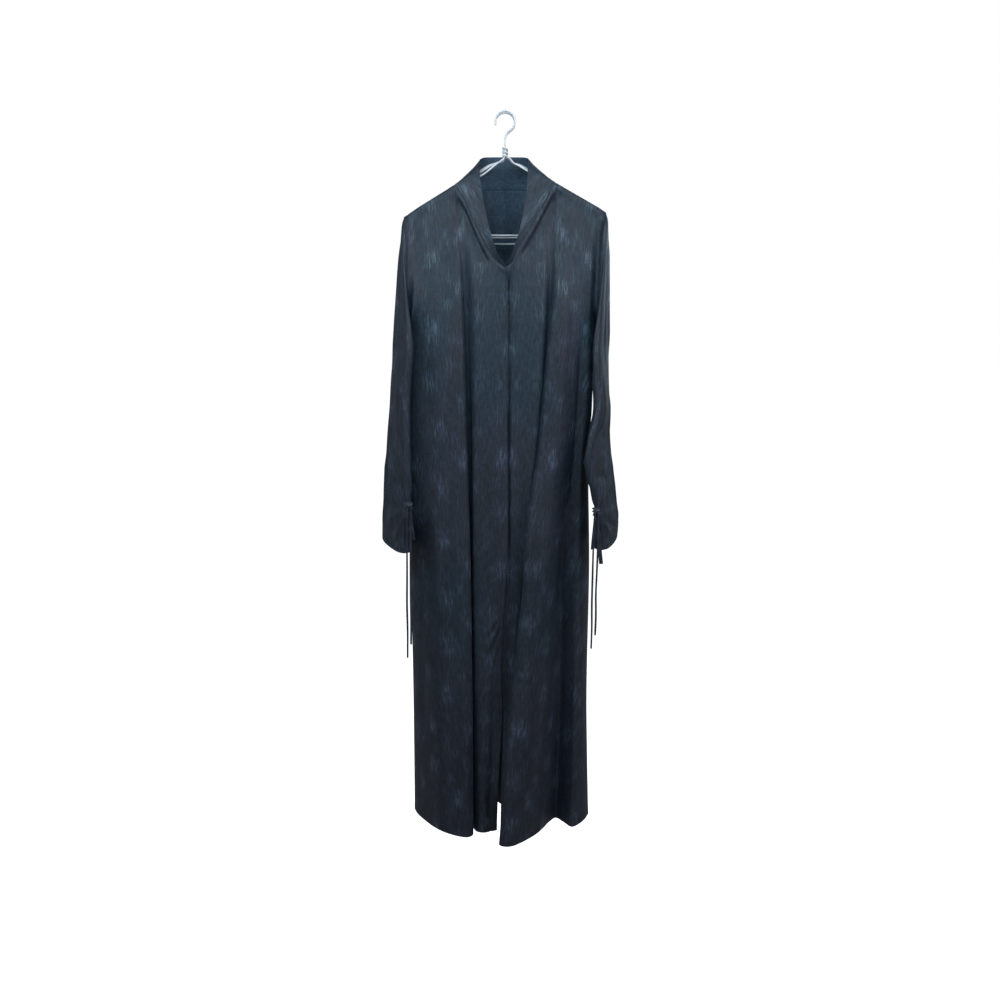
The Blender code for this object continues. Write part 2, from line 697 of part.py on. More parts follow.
def collar(seam, seam_normals, free):
    """The band between the neck edge and its free edge, slightly bowed outwards."""
    grid = []
    for low, normal, high in zip(seam, seam_normals, free):
        bow = (high - low).length * COLLAR_BULGE
        column = [mix(low, high, v) + normal * (bow * math.sin(math.pi * v))
                  for v in (0.0, 0.34, 0.67, 1.0)]
        grid.append(column)
    normals = grid_normals(grid, -1.0)
    for column, line, normal in zip(grid, normals, seam_normals):
        line[0] = normal
        column[0] = column[0] + (column[1] - column[0]).normalized() * (SEAM_GAP / 2)
    return add_mesh("collar", wall_mesh(grid, normals), CREPE)


def body():
    """Both fronts, the back and the collar; returns the fronts' grids for the studs."""
    right, right_tops = front_grid(-1.0)
    left, left_tops = front_grid(1.0)
    back, back_tops = back_grid()
    right_normals = grid_normals(right, 1.0)
    left_normals = grid_normals(left, -1.0)
    back_normals = grid_normals(back, 1.0)
    share_normals(right_normals[-1], back_normals[0])
    share_normals(left_normals[-1], back_normals[-1])

    panels = ((right, right_normals, right_tops), (left, left_normals, left_tops))
    for side, (grid, normals, tops) in zip((-1.0, 1.0), panels):
        for line, top in zip(normals, tops):
            if top >= FRONT_NECK_END:
                line[0] = shoulder_normal(side)
            elif top > 1.0:
                line[0] = over_arm_normal(side, -1.0)
        for row, angle in enumerate(ROW_ANGLES):
            normals[-1][row] = armhole_normal(side, angle)
    for line, top in zip(back_normals, back_tops):
        side, reach = (-1.0 if top < 3.0 else 1.0), min(top, 6.0 - top)
        if reach <= 1.0:
            line[0] = shoulder_normal(side)
        elif reach < 2.0:
            line[0] = over_arm_normal(side, 1.0)
    for row, angle in enumerate(ROW_ANGLES):
        back_normals[0][row] = armhole_normal(-1.0, -angle)
        back_normals[-1][row] = armhole_normal(1.0, -angle)

    front_necks = []
    for side, (grid, normals, tops) in zip((-1.0, 1.0), panels):
        front_necks.append([(column[0].copy(), line[0].copy(), front_free_edge(side, top))
                            for column, line, top in zip(grid, normals, tops)
                            if top <= FRONT_NECK_END])
    back_neck = [(column[0].copy(), line[0].copy(), back_free_edge(top))
                 for column, line, top in zip(back, back_normals, back_tops)
                 if 1.0 < top < 5.0]
    loop = front_necks[0] + back_neck + list(reversed(front_necks[1]))
    collar([p[0] for p in loop], [p[1] for p in loop], [p[2] for p in loop])

    for side, (grid, normals, tops) in zip((-1.0, 1.0), panels):
        draw_back_neck_point(grid, tops, (1.5, 2.0), side)
    draw_back_neck_point(back, back_tops, (1.0, 1.5, 4.5, 5.0), 0.0)
    for grid in (right, left, back):
        inset_top(grid)
    inset_end(right[-1], right[-2])
    inset_end(left[-1], left[-2])
    inset_end(back[0], back[1])
    inset_end(back[-1], back[-2])
    add_mesh("front_right", wall_mesh(right, right_normals), CREPE)
    add_mesh("front_left", wall_mesh(left, left_normals), CREPE)
    add_mesh("back", wall_mesh(back, back_normals), CREPE)
    return right, left


def draw_back_neck_point(grid, tops, places, side):
    """Move a panel's corner at the neck point down the shoulder, clear of the collar."""
    for column, top in zip(grid, tops):
        if top in places:
            way = side if side else math.copysign(1.0, column[0].x)
            fall = Vector((way, 0.0, -slope_at(way))).normalized()
            column[0] = column[0] + fall * SEAM_GAP


# ---------------------------------------------------------------- press studs

def crossing(grid, row, x):
    """Where a row of a panel passes a given x, near the opening edge."""
    line = [column[row] for column in grid[:6]]
    for a, b in zip(line, line[1:]):
        if min(a.x, b.x) <= x <= max(a.x, b.x):
            return mix(a, b, (x - a.x) / (b.x - a.x))
    raise ValueError("the row does not pass this x")


def lap_normal(grid, row, x):
    across_lap = crossing(grid, row, x + STUD_R) - crossing(grid, row, x - STUD_R)
    near = min(grid[:6], key=lambda column: abs(column[row].x - x))
    down_lap = near[row + 1] - near[row - 1]
    normal = across_lap.cross(down_lap).normalized()
    return normal if normal.y < 0 else -normal


def turned_mesh(profile, sides):
    """A closed turned body about +Z from (radius, height) pairs that start and end at 0."""
    mesh = bmesh.new()
    rings = []
    for radius, height in profile[1:-1]:
        rings.append([mesh.verts.new((radius * math.cos(a), radius * math.sin(a), height))
                      for a in even_angles(sides)])
    poles = [mesh.verts.new((0, 0, profile[0][1])), mesh.verts.new((0, 0, profile[-1][1]))]
    for i in range(sides):
        k = (i + 1) % sides
        mesh.faces.new((poles[0], rings[0][k], rings[0][i]))
        mesh.faces.new((poles[1], rings[-1][i], rings[-1][k]))
        for low, high in zip(rings, rings[1:]):
            mesh.faces.new((low[i], low[k], high[k], high[i]))
    bmesh.ops.recalc_face_normals(mesh, faces=mesh.faces[:])
    return mesh


def studs(right, left):
    """Fastened press studs between the lapped fronts."""
    rows = [TOP_STUD_ROW] + [len(ROW_ANGLES) + LOWER_ROWS.index(z) for z in STUD_ROWS]
    for number, row in enumerate(rows, start=1):
        x = right[0][row].x - STUD_INSET
        outer, inner = crossing(right, row, x), crossing(left, row, x)
        over, under = lap_normal(right, row, x), lap_normal(left, row, x)
        normal = (over + under).normalized()
        tilt = STUD_R * over.cross(normal).length
        height = abs((outer - inner).dot(normal)) - WALL - 2 * (SEAM_GAP + tilt) - STUD_PLAY
        half = height / 2
        profile = ((0, -half), (STUD_R, -half), (STUD_R, STUD_RIM - half),
                   (STUD_R * 0.6, STUD_RIM - half), (STUD_R * 0.6, half - STUD_RIM),
                   (STUD_R, half - STUD_RIM), (STUD_R, half), (0, half))
        stud = add_mesh(f"snap_{number}", turned_mesh(profile, 10), STUD_METAL, 30.0)
        stud.rotation_euler = normal.to_track_quat("Z", "Y").to_euler()
        stud.location = (outer + inner) / 2


# ---------------------------------------------------------------- ties

def ribbon_mesh(points, width, thickness):
    """A flat ribbon along points that lie in a plane of constant lean, wide along X."""
    mesh = bmesh.new()
    rings = []
    for i, point in enumerate(points):
        ahead = points[min(i + 1, len(points) - 1)] - points[max(i - 1, 0)]
        flat = Vector((0, ahead.z, -ahead.y)).normalized() * (thickness / 2)
        wide = Vector((width / 2, 0, 0))
        corners = (-wide - flat, wide - flat, wide + flat, -wide + flat)
        rings.append([mesh.verts.new(point + corner) for corner in corners])
    for low, high in zip(rings, rings[1:]):
        for i in range(4):
            k = (i + 1) % 4
            mesh.faces.new((low[i], low[k], high[k], high[i]))
    mesh.faces.new(rings[0][::-1])
    mesh.faces.new(rings[-1])
    bmesh.ops.recalc_face_normals(mesh, faces=mesh.faces[:])
    return mesh


# A bow loop seen from the side, as shares of its drop and millimetres forward
LOOP_SHAPE = ((0.00, -1.5), (0.18, -3.6), (0.50, -4.6), (0.80, -4.2), (0.95, -2.4), (1.00, 0.2),
              (0.95, 2.6), (0.78, 4.0), (0.48, 4.2), (0.18, 3.2), (0.00, 1.5))


def tie(name, knot, loops):
    """A knot with two hanging bow loops, joined into one solid."""
    centre = Vector(knot)
    ball = bmesh.new()
    bmesh.ops.create_icosphere(ball, subdivisions=2, radius=KNOT_R)
    for vertex in ball.verts:
        vertex.co = Vector((vertex.co.x * 1.15, vertex.co.y, vertex.co.z * 1.05)) + centre
    piece = add_mesh(name, ball, CREPE)
    for number, (lean, drop) in enumerate(loops, start=1):
        points = [centre + Vector((lean * share, forward * MM, -drop * share))
                  for share, forward in LOOP_SHAPE]
        loop = add_mesh(f"{name}_loop_{number}", ribbon_mesh(points, LOOP_WIDTH, WALL), CREPE)
        loop.hide_render = True
        loop.display_type = "WIRE"
        join = piece.modifiers.new(f"loop {number}", "BOOLEAN")
        join.operation = "UNION"
        join.solver = "EXACT"
        join.object = loop
    return piece


def tail(name, route):
    points = [Vector(p) for p in route]
    count = TAIL_POINTS - 1
    places = [i * (len(points) - 1) / count for i in range(TAIL_POINTS)]
    smooth = [spline(range(len(points)), points, place) for place in places]
    return add_tube(name, smooth, TAIL_D / 2, 2, CREPE)


# ---------------------------------------------------------------- hangers

def hanger_points(hanger):
    """One wire: wrapped end, left arm, bar, right arm, stem and hook."""
    root = ROOT_Z
    wrap_r = (2 * WIRE_R + 0.4 * MM) / math.cos(math.pi / WRAP_SIDES)
    wrap_low = root + 0.010
    points = []
    steps = int(WRAP_TURNS * WRAP_SIDES)
    for i in range(steps + 1):
        angle = -math.pi / 2 - 2 * math.pi * (steps - i) / WRAP_SIDES
        height = wrap_low + WRAP_LENGTH * (steps - i) / steps
        points.append((wrap_r * math.cos(angle), wrap_r * math.sin(angle), height))
    points.append((0.008, -wrap_r * 0.75, root + 0.0055))

    def arm(side, xs):
        hump = (hanger.hump_left if side > 0 else hanger.hump_right) * MM
        for x in xs:
            lift = hump * math.sin(math.pi * min(x / HUMP_REACH, 1.0)) ** 2
            yield (side * x, 0.0, arm_z(side * x) + lift)

    def tip(side):
        """The bend at the arm's end, turning down and back to the bar."""
        fall = math.atan(slope_at(side))
        bar = hanger.bar_z * MM
        end_z = arm_z(side * ARM_END_X)
        radius = min(TIP_BEND_R, (end_z - bar) / (1 + math.cos(fall)))
        centre_x = ARM_END_X - radius * math.sin(fall)
        centre_z = end_z - radius * math.cos(fall)
        start = math.pi / 2 - fall
        for i in range(6):
            a = start - i * (start + math.pi / 2) / 5
            yield (side * (centre_x + radius * math.cos(a)), 0.0,
                   centre_z + radius * math.sin(a))

    reach = (0.016, 0.030, 0.048, 0.068, 0.090)
    points += list(arm(1.0, reach)) + list(tip(1.0))
    right_low, left_low = list(tip(1.0))[-1], list(tip(-1.0))[-1]
    bar_z, sag = hanger.bar_z * MM, hanger.bar_sag * MM
    for i in range(1, 6):
        share = i / 6
        level = mix(right_low[2], left_low[2], share)
        droop = sag * math.sin(math.pi * share)
        toward = math.sin(math.pi * share) ** 0.5
        points.append((mix(right_low[0], left_low[0], share), 0.0,
                       mix(level, bar_z, toward) - droop))
    points += list(reversed(list(tip(-1.0)))) + list(reversed(list(arm(-1.0, reach))))
    points += [(-0.0065, 0.0, root + 0.0016), (-0.0018, 0.0, root + 0.0055), (0.0, 0.0, root + 0.012)]

    centre_z = WIRE_R - HOOK_R
    points += [(0.0, 0.0, wrap_low + WRAP_LENGTH + 0.006), (0.0, 0.0, centre_z - HOOK_R - 0.012),
               (0.0035, 0.0, centre_z - HOOK_R - 0.003)]
    for i in range(12):
        a = math.radians(-58.0 + i * 250.0 / 11)
        points.append((HOOK_R * math.cos(a), 0.0, centre_z + HOOK_R * math.sin(a)))
    return [Vector((x, hanger.y + y, z)) for x, y, z in points]


def main():
    for old in list(bpy.data.objects):
        bpy.data.objects.remove(old)
    right, left = body()
    sleeve(-1.0)
    sleeve(1.0)
    studs(right, left)
    tie("tie_right", KNOT_RIGHT, LOOPS_RIGHT)
    tie("tie_left", KNOT_LEFT, LOOPS_LEFT)
    for name, route in TAILS.items():
        tail(name, route)
    for hanger in HANGERS:
        add_tube(hanger.name, hanger_points(hanger), WIRE_R, 1, WIRE_COAT)


main()
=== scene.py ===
"""Dresses the hanging abaya: cloth, ties, studs, hangers, stitching and a small studio.

Metres, +Z up. The origin is the inside top of the middle hanger's hook, the front faces -Y and
+X is the wearer's left. Tables are in millimetres.
"""

import math
from collections import namedtuple
from functools import partial

import bmesh
import bpy
import numpy as np
from bpy.props import FloatProperty, FloatVectorProperty, IntProperty, PointerProperty
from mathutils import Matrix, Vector


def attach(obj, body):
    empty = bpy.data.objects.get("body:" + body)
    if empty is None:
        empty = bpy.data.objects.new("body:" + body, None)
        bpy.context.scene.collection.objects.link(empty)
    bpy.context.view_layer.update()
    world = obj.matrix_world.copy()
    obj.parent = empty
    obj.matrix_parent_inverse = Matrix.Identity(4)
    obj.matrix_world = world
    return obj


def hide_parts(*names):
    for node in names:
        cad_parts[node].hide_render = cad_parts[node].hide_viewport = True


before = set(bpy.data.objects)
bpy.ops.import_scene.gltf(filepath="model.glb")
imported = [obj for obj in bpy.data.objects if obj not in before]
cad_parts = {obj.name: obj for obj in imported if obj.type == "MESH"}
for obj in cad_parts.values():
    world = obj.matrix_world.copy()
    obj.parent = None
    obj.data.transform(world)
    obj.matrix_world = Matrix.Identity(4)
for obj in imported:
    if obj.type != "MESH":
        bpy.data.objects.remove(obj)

bl_info = {
    "name": "Hanging abaya",
    "version": (1, 0, 0),
    "blender": (4, 5, 0),
    "location": "3D View > Sidebar > Abaya",
    "description": "Cloth, ties, hangers and studio for a full-length abaya on its hangers",
    "category": "Object",
}

MM = 0.001


def rows(kind, *values):
    """A table whose rows are named tuples of one kind."""
    return [kind(*row) for row in values]


# ---------------------------------------------------------------- the garment's sizes

UNDERARM_Z = -0.420
HEM_Z = -1.540
WIRE_R = 1.8 * MM
HANGER_PITCH = 12.6 * MM
HOOK_R = 20.0 * MM
ROOT_Z = -0.096
NECK_BEND = 0.030
SLOPE_RIGHT = 0.600
SLOPE_LEFT = 0.555
ARM_END_X = 0.185
HUMP_REACH = 0.090
TIP_BEND_R = 0.015
WRAP_TURNS = 2.25
WRAP_SIDES = 8
WRAP_LENGTH = 0.016
NECK_POINT_X = 0.1045
TIP_X = 0.208
CREST_RISE = 4.0 * MM
ARMHOLE_HALF_DEPTH = 0.042
ARMHOLE_POWER = 2.6
ARMHOLE_LEAN_RIGHT = 0.005
ARMHOLE_LEAN_LEFT = 0.016
ARMHOLE_WAIST = 0.003
UNDERARM_FLARE_RUN = 0.012
UNDERARM_LEAN = 0.20
OVER_ARM_X = 0.101
OVER_ARM_Y = 15.0 * MM
CAP_REACH = 0.045
SLEEVE_LEAN = 1.0
RING_BLUNTNESS = 0.62
CAP_FALL = 0.10

LEVELS = (UNDERARM_Z, -0.680, -0.940, -1.260, HEM_Z)

# A fold is a line down the cloth: its label, how many strips of cloth lead to the next fold,
# its place on the neck and shoulder edge, and where it is at each of the LEVELS
Fold = namedtuple("Fold", "name columns top x0 y0 x1 y1 x2 y2 x3 y3 x4 y4")
# The side seams, which a front and the back share
SIDE_RIGHT = (-197, 0, -203, 4, -205, 14, -205, 34, -207, 52)
SIDE_LEFT = (193, 0, 179, 4, 184, 11, 183, 18, 191, 26)

FRONT_RIGHT_FOLDS = rows(
    Fold,
    ("edge",        3, 0.00,    1, -56,    4, -61,    3, -65,   -5, -61,  -18, -55),
    ("placket",     3, 0.28,  -31, -59,  -30, -65,  -32, -69,  -37, -70,  -39, -68),
    ("strip side",  3, 0.62,  -61, -54,  -63, -57,  -65, -60,  -65, -62,  -62, -62),
    ("valley in",   1, 0.92,  -76, -37,  -70, -34,  -70, -31,  -72, -29,  -76, -27),
    ("valley out",  2, 1.00,  -83, -35,  -79, -31,  -79, -27,  -82, -24,  -87, -20),
    ("lobe crest",  2, 2.00,  -91, -49,  -83, -57,  -75, -65,  -72, -75,  -71, -80),
    ("lobe ridge",  3, 2.25, -121, -51, -115, -59, -112, -69, -107, -79,  -98, -87),
    ("lobe flank",  5, 2.62, -155, -43, -158, -46, -160, -48, -159, -48, -154, -45),
    ("side",        0, 3.00, *SIDE_RIGHT),
)

FRONT_LEFT_FOLDS = rows(
    Fold,
    ("edge",        2, 0.00,  -14, -50,  -11, -55,  -12, -59,    0, -69,  -10, -95),
    ("lap",         2, 0.18,    8, -49,    9, -54,    7, -57,    6, -59,    1, -92),
    ("strip",       3, 0.50,   45, -53,   36, -56,   24, -58,   20, -61,   14, -87),
    ("strip side",  2, 0.86,   72, -47,   58, -50,   41, -53,   30, -57,   23, -81),
    ("valley in",   1, 0.94,   87, -37,   72, -34,   56, -36,   38, -50,   33, -73),
    ("valley out",  2, 1.00,   94, -36,   79, -34,   64, -39,   46, -56,   42, -80),
    ("swag crest",  3, 2.00,  102, -47,   80, -56,   44, -73,    9, -96,  -12, -120),
    ("swag ridge",  3, 2.30,  123, -54,  102, -67,   69, -87,   39, -110,  15, -132),
    ("swag flank",  3, 2.46,  140, -47,  125, -53,  101, -62,   86, -67,   69, -75),
    ("low valley",  2, 2.64,  157, -37,  145, -29,  126, -21,  121, -10,  116,   6),
    ("side lobe",   3, 2.82,  176, -33,  164, -34,  157, -34,  154, -36,  151, -40),
    ("side",        0, 3.00, *SIDE_LEFT),
)

BACK_FOLDS = rows(
    Fold,
    ("right side",  3, 0.00, *SIDE_RIGHT),
    ("right flank", 3, 0.40, -166,  30, -166,  40, -165,  52, -162,  72, -158,  90),
    ("ridge 1",     3, 0.70, -128,  40, -124,  54, -120,  70, -115,  92, -110, 114),
    ("valley 1",    2, 1.00,  -97,  38,  -90,  42,  -84,  48,  -79,  56,  -74,  64),
    ("slope 1",     2, 2.00,  -82,  41,  -76,  46,  -71,  54,  -66,  66,  -60,  80),
    ("ridge 2",     3, 2.35,  -58,  45,  -50,  56,  -46,  74,  -42,  96,  -38, 120),
    ("valley 2",    3, 2.90,  -14,  46,   -9,  49,   -4,  54,    2,  60,    7,  66),
    ("ridge 3",     3, 3.35,   32,  46,   34,  58,   38,  76,   42, 100,   47, 124),
    ("valley 3",    2, 4.00,   76,  42,   78,  44,   80,  48,   84,  54,   88,  60),
    ("slope 4",     2, 5.00,   94,  40,   95,  45,   96,  54,   97,  66,   98,  80),
    ("ridge 4",     3, 5.30,  128,  38,  122,  50,  121,  66,  120,  86,  119, 106),
    ("left flank",  3, 5.60,  163,  29,  156,  36,  154,  46,  155,  58,  158,  70),
    ("left side",   0, 6.00, *SIDE_LEFT),
)

# Where the neck edge runs, with the collar's free edge beside each of its points. The first
# row of a front is its V point, the last lies just in front of the hangers' arms.
Neck = namedtuple("Neck", "x y z free_x free_y free_z")

NECK_RIGHT = rows(
    Neck,
    (0.0, -54, -310, -4, -56.5, -303.0),
    (-23, -48, -290, -15, -55, -283),
    (-46, -40, -252, -29, -49, -243),
    (-63, -33, -217, -38.5, -41, -204),
    (-80, -25, -178, -46, -32, -166),
    (-97.5, -17.2, -147.5, -51, -22.5, -132),
)
NECK_LEFT = rows(
    Neck,
    (-11, -44.5, -311, -10, -46.5, -305.5),
    (11, -45, -301, 6, -50, -298),
    (30, -41, -263, 22, -47, -259),
    (51, -35, -229, 32.5, -42, -223),
    (77, -26, -184, 42, -32, -168),
    (97.5, -17.2, -144.5, 46, -22.5, -127),
)
NECK_BACK = rows(
    Neck,
    (-97.5, 17.2, -147.5, -51, 15, -90),
    (-80, 27, -150, -43, 26, -85),
    (-45, 39, -149, -27, 33, -83.5),
    (0, 45, -148, 0, 36, -83),
    (45, 39, -149, 26, 33, -83.5),
    (80, 27, -149, 41, 26, -85),
    (97.5, 17.2, -144.5, 48, 15, -89),
)
# The collar's free edge beside the shoulder seams, over the hangers' arms
FREE_AT_ARM = {"right_front": (-51.5, -13.5, -106), "right": (-51.5, 2, -97),
               "right_back": (-51.5, 9, -93), "left_front": (47, -13.5, -104),
               "left": (48, 2, -95), "left_back": (48.5, 9, -92)}
# The edges of the lapped fronts, down from the V point: the right front lies outside
Lap = namedtuple("Lap", "z over_x over_y under_x under_y")
OPENING = rows(
    Lap,
    (-310, 0, -54, -11, -44.5),
    (-345, 0.5, -55, -13.5, -48.5),
    (-420, 1, -56, -14, -50),
    (-680, 4, -61, -11, -55),
    (-940, 3, -65, -12, -59),
    (-1050, -4, -64, -18, -58),
    (-1150, -8, -63, -17, -56),
    (-1260, -6, -63, -14, -54),
    (-1400, -13, -67, -7, -60),
    (-1540, -18, -55, -10, -95),
)

# Rows of cloth below the underarm
LOWER_ROWS = (-0.432, -0.460, -0.520, -0.600, -0.695, -0.780, -0.865, -0.955, -1.047,
              -1.100, -1.170, -1.260, -1.400, HEM_Z)
ARMHOLE_ANGLES = (38.0, 62.0, 88.0, 115.0, 140.0, 162.0, 180.0)

# Sleeve rings below the armhole: the front and back ends of a flattened tube, its half
# thickness, and how much the ring rises towards the back
Ring = namedtuple("Ring", "z front_x front_y back_x back_y half rise")

SLEEVE_RIGHT_RINGS = rows(
    Ring,
    (-470, -195, -74, -234, 48, 12, 0.00),
    (-540, -201, -76, -240, 48, 13, 0.00),
    (-610, -204, -77, -245, 47, 13, 0.00),
    (-670, -204, -77, -250, 46, 14, 0.00),
    (-720, -203, -76, -254, 45, 14, 0.00),
    (-760, -203, -74, -257, 44, 13, 0.00),
    (-785, -204, -73, -259, 44, 12, 0.00),
    (-806, -204, -72, -261, 44, 11, 0.02),
    (-835, -206, -71, -262, 46, 14, 0.05),
    (-868, -208, -70, -263, 48, 17, 0.08),
    (-898, -209, -69, -262, 50, 19, 0.10),
)
SLEEVE_LEFT_RINGS = rows(
    Ring,
    (-470, 186.5, -72, 219, 48, 10, 0.00),
    (-540, 188, -78, 219, 46, 11, 0.00),
    (-610, 190, -84, 221, 44, 12, 0.00),
    (-665, 175, -91, 223, 42, 13, 0.00),
    (-705, 170, -93, 227, 41, 13, 0.00),
    (-745, 176, -88, 230, 41, 13, 0.00),
    (-780, 188, -79, 235, 41, 12, 0.00),
    (-812, 194, -72, 240, 42, 11, 0.02),
    (-840, 198, -70, 243, 45, 14, 0.05),
    (-866, 200, -69, 242, 48, 17, 0.08),
    (-890, 201, -68, 238, 50, 19, 0.12),
)
CAP_STEPS = (0.10, 0.24, 0.46, 0.72)
COLLAR_STEPS = (0.0, 0.34, 0.67, 1.0)

# The wire's points along an arm, round its tip, along the bar and round the hook
ARM_STEPS = (0.016, 0.030, 0.048, 0.068, 0.090, 0.115, 0.140, ARM_END_X - 0.012)
TIP_STEPS = 5
BAR_STEPS = 6
HOOK_STEPS = 11
HOOK_START = -58.0
HOOK_SWEEP = 250.0
# Hangers: how far the arms hump or dip near the neck, and where the bar lies
Hanger = namedtuple("Hanger", "name y hump_right hump_left bar_z bar_sag")
HANGERS = rows(
    Hanger,
    ("hanger_front", -HANGER_PITCH, -9, -3, -245.0, 0.0),
    ("hanger_middle", 0.0, 0, 0, -249.2, 0.0),
    ("hanger_rear", HANGER_PITCH, 5, 4, -259.0, 2.2),
)

# Ties: the knot, its bow loops (lean in x, drop) and the free ends' routes
KNOT_RIGHT = (-0.2012, -0.0792, -0.802)
KNOT_LEFT = (0.1914, -0.0790, -0.814)
LOOPS_RIGHT = ((-0.004, 0.082), (0.008, 0.074))
LOOPS_LEFT = ((-0.006, 0.080), (0.012, 0.112))
TAILS = {
    "tie_right_tail_1": ((-0.2045, -0.0884, -0.804), (-0.2050, -0.0904, -0.835),
                         (-0.2058, -0.0909, -0.890), (-0.2066, -0.0889, -0.950),
                         (-0.2074, -0.0915, -1.010), (-0.2068, -0.0925, -1.070),
                         (-0.2075, -0.0940, -1.128)),
    "tie_right_tail_2": ((-0.1975, -0.0882, -0.804), (-0.1972, -0.0902, -0.832),
                         (-0.1978, -0.0917, -0.880), (-0.1990, -0.0907, -0.940),
                         (-0.1996, -0.0892, -0.995), (-0.1989, -0.0940, -1.045),
                         (-0.1996, -0.0955, -1.098)),
    "tie_left_tail_1": ((0.1880, -0.0881, -0.816), (0.1868, -0.0901, -0.846),
                        (0.1852, -0.0916, -0.900), (0.1846, -0.0906, -0.955),
                        (0.1838, -0.0930, -1.010), (0.1844, -0.0925, -1.062),
                        (0.1836, -0.0935, -1.108)),
    "tie_left_tail_2": ((0.1950, -0.0880, -0.816), (0.1952, -0.0900, -0.846),
                        (0.1946, -0.0920, -0.895), (0.1934, -0.0915, -0.945),
                        (0.1922, -0.0905, -0.990), (0.1925, -0.0945, -1.035),
                        (0.1915, -0.0950, -1.078)),
}

# Creases in the cloth: a soft trough (or ridge, with a positive height) from x1, z1 to x2, z2
# on the panel as seen from the front, bent sideways by bow at its middle.
Crease = namedtuple("Crease", "x1 z1 x2 z2 width height bow")

FRONT_RIGHT_CREASES = rows(
    Crease,
    # the hollow beside the band, and the flank that fills out behind the sleeve
    (-104, -158, -34, -314, 14, -8.0, 3),
    (-196, -236, -196, -955, 28, 22.0, 0),
    # hanging folds from the shoulder and the band
    (-126, -190, -139, -520, 11.25, 1.1, 4),
    (-143, -200, -160, -760, 10, -1.2, -5),
    (-172, -215, -181, -640, 10, 1.0, 3),
    (-187, -230, -190, -470, 7.5, -0.9, -3),
    (-101, -200, -104, -470, 7.5, -0.8, 3),
    (-112, -620, -104, -1180, 8, -1.6, -6),
    (-148, -800, -140, -1420, 11, 2.5, 5),
    (-180, -900, -176, -1380, 10, -2.5, -4),
    (-90, -1180, -86, -1540, 8, 2.6, 3),
    (-128, -1240, -121, -1540, 9, -3.0, 4),
    # the lapped strip
    (-52, -330, -47, -720, 5, -1.0, 2),
    (-17, -420, -13, -800, 6, 0.8, -2),
    (-44, -860, -50, -1330, 7, -1.9, 4),
    (-24, -1080, -33, -1460, 7, 2.2, -3),
    (-26, -1080, -31, -1600, 12, -6.0, 0),
    # pulls towards the lowest stud
    (-6, -1024, -50, -1092, 4.5, 4.0, 4),
    (-8, -1042, -46, -1126, 4.5, 4.4, 4),
    (-6, -1066, -38, -1160, 4, 3.6, 3),
    (-8, -1034, -48, -1108, 3, -3.4, 4),
    (-8, -1054, -42, -1144, 3, -3.4, 4),
)

FRONT_LEFT_CREASES = rows(
    Crease,
    # the hollow beside the band, and the flank that fills out behind the sleeve
    (118, -146, 36, -302, 16, -9.0, -3),
    (174, -240, 173, -700, 10, 7.5, 0),
    # fuller cloth in the two long valleys
    (88, -230, 44, -1040, 11, 6.0, -3),
    (123, -260, 43, -1000, 11, 9.0, 0),
    (152, -400, 124, -1080, 9, 4.5, 0),
    # beside the lap
    (6, -200, 8, -1010, 3.2, -4.2, 0),
    # hanging folds
    (113, -196, 120, -560, 10, 1.1, -4),
    (132, -205, 137, -660, 10, -1.2, 5),
    (158, -214, 160, -560, 10, 1.0, -3),
    (180, -226, 176, -480, 7.5, -1.0, 3),
    (98, -190, 84, -500, 7.5, -0.9, -4),
    (104, -640, 66, -1120, 10, 2.0, 6),
    (86, -700, 52, -1180, 7, -2.4, 5),
    (128, -760, 112, -1200, 9, -2.7, -4),
    (58, -1100, 20, -1500, 10, 3.1, 7),
    (78, -1180, 52, -1540, 9, -2.5, -5),
    (34, -1180, 3, -1520, 7, -2.5, 4),
    (164, -820, 160, -1320, 9, 2.5, 4),
    (150, -1100, 146, -1500, 8, -2.2, -3),
    (28, -360, 24, -760, 6, -1.0, 3),
    (14, -560, 12, -980, 6, 1.1, -2),
    (40, -480, 30, -900, 6, 1.1, 2),
)

BACK_CREASES = rows(
    Crease,
    (-142, -200, -150, -640, 10, 1.9, 5),
    (-172, -215, -184, -560, 8, -1.8, -4),
    (-112, -190, -106, -620, 9, -1.8, 5),
    (-70, -210, -62, -560, 9, 1.8, -4),
    (-30, -200, -34, -500, 10, -1.6, 3),
    (8, -190, 14, -620, 10, 1.7, -5),
    (52, -205, 56, -580, 9, -1.7, 4),
    (96, -195, 108, -640, 9, 1.9, 5),
    (142, -205, 138, -600, 9, -1.8, -4),
    (174, -220, 172, -500, 7, 1.7, 3),
    (-100, -760, -104, -1260, 11, 1.9, 6),
    (-146, -860, -138, -1420, 10, -1.9, -5),
    (-24, -820, -26, -1320, 10, -1.8, 4),
    (24, -900, 30, -1480, 11, 1.9, -6),
    (68, -760, 66, -1240, 9, -1.9, 4),
    (110, -880, 108, -1460, 10, 1.8, 5),
    (146, -960, 140, -1500, 10, -1.8, -4),
    (-60, -1060, -54, -1540, 9, 1.8, 3),
)

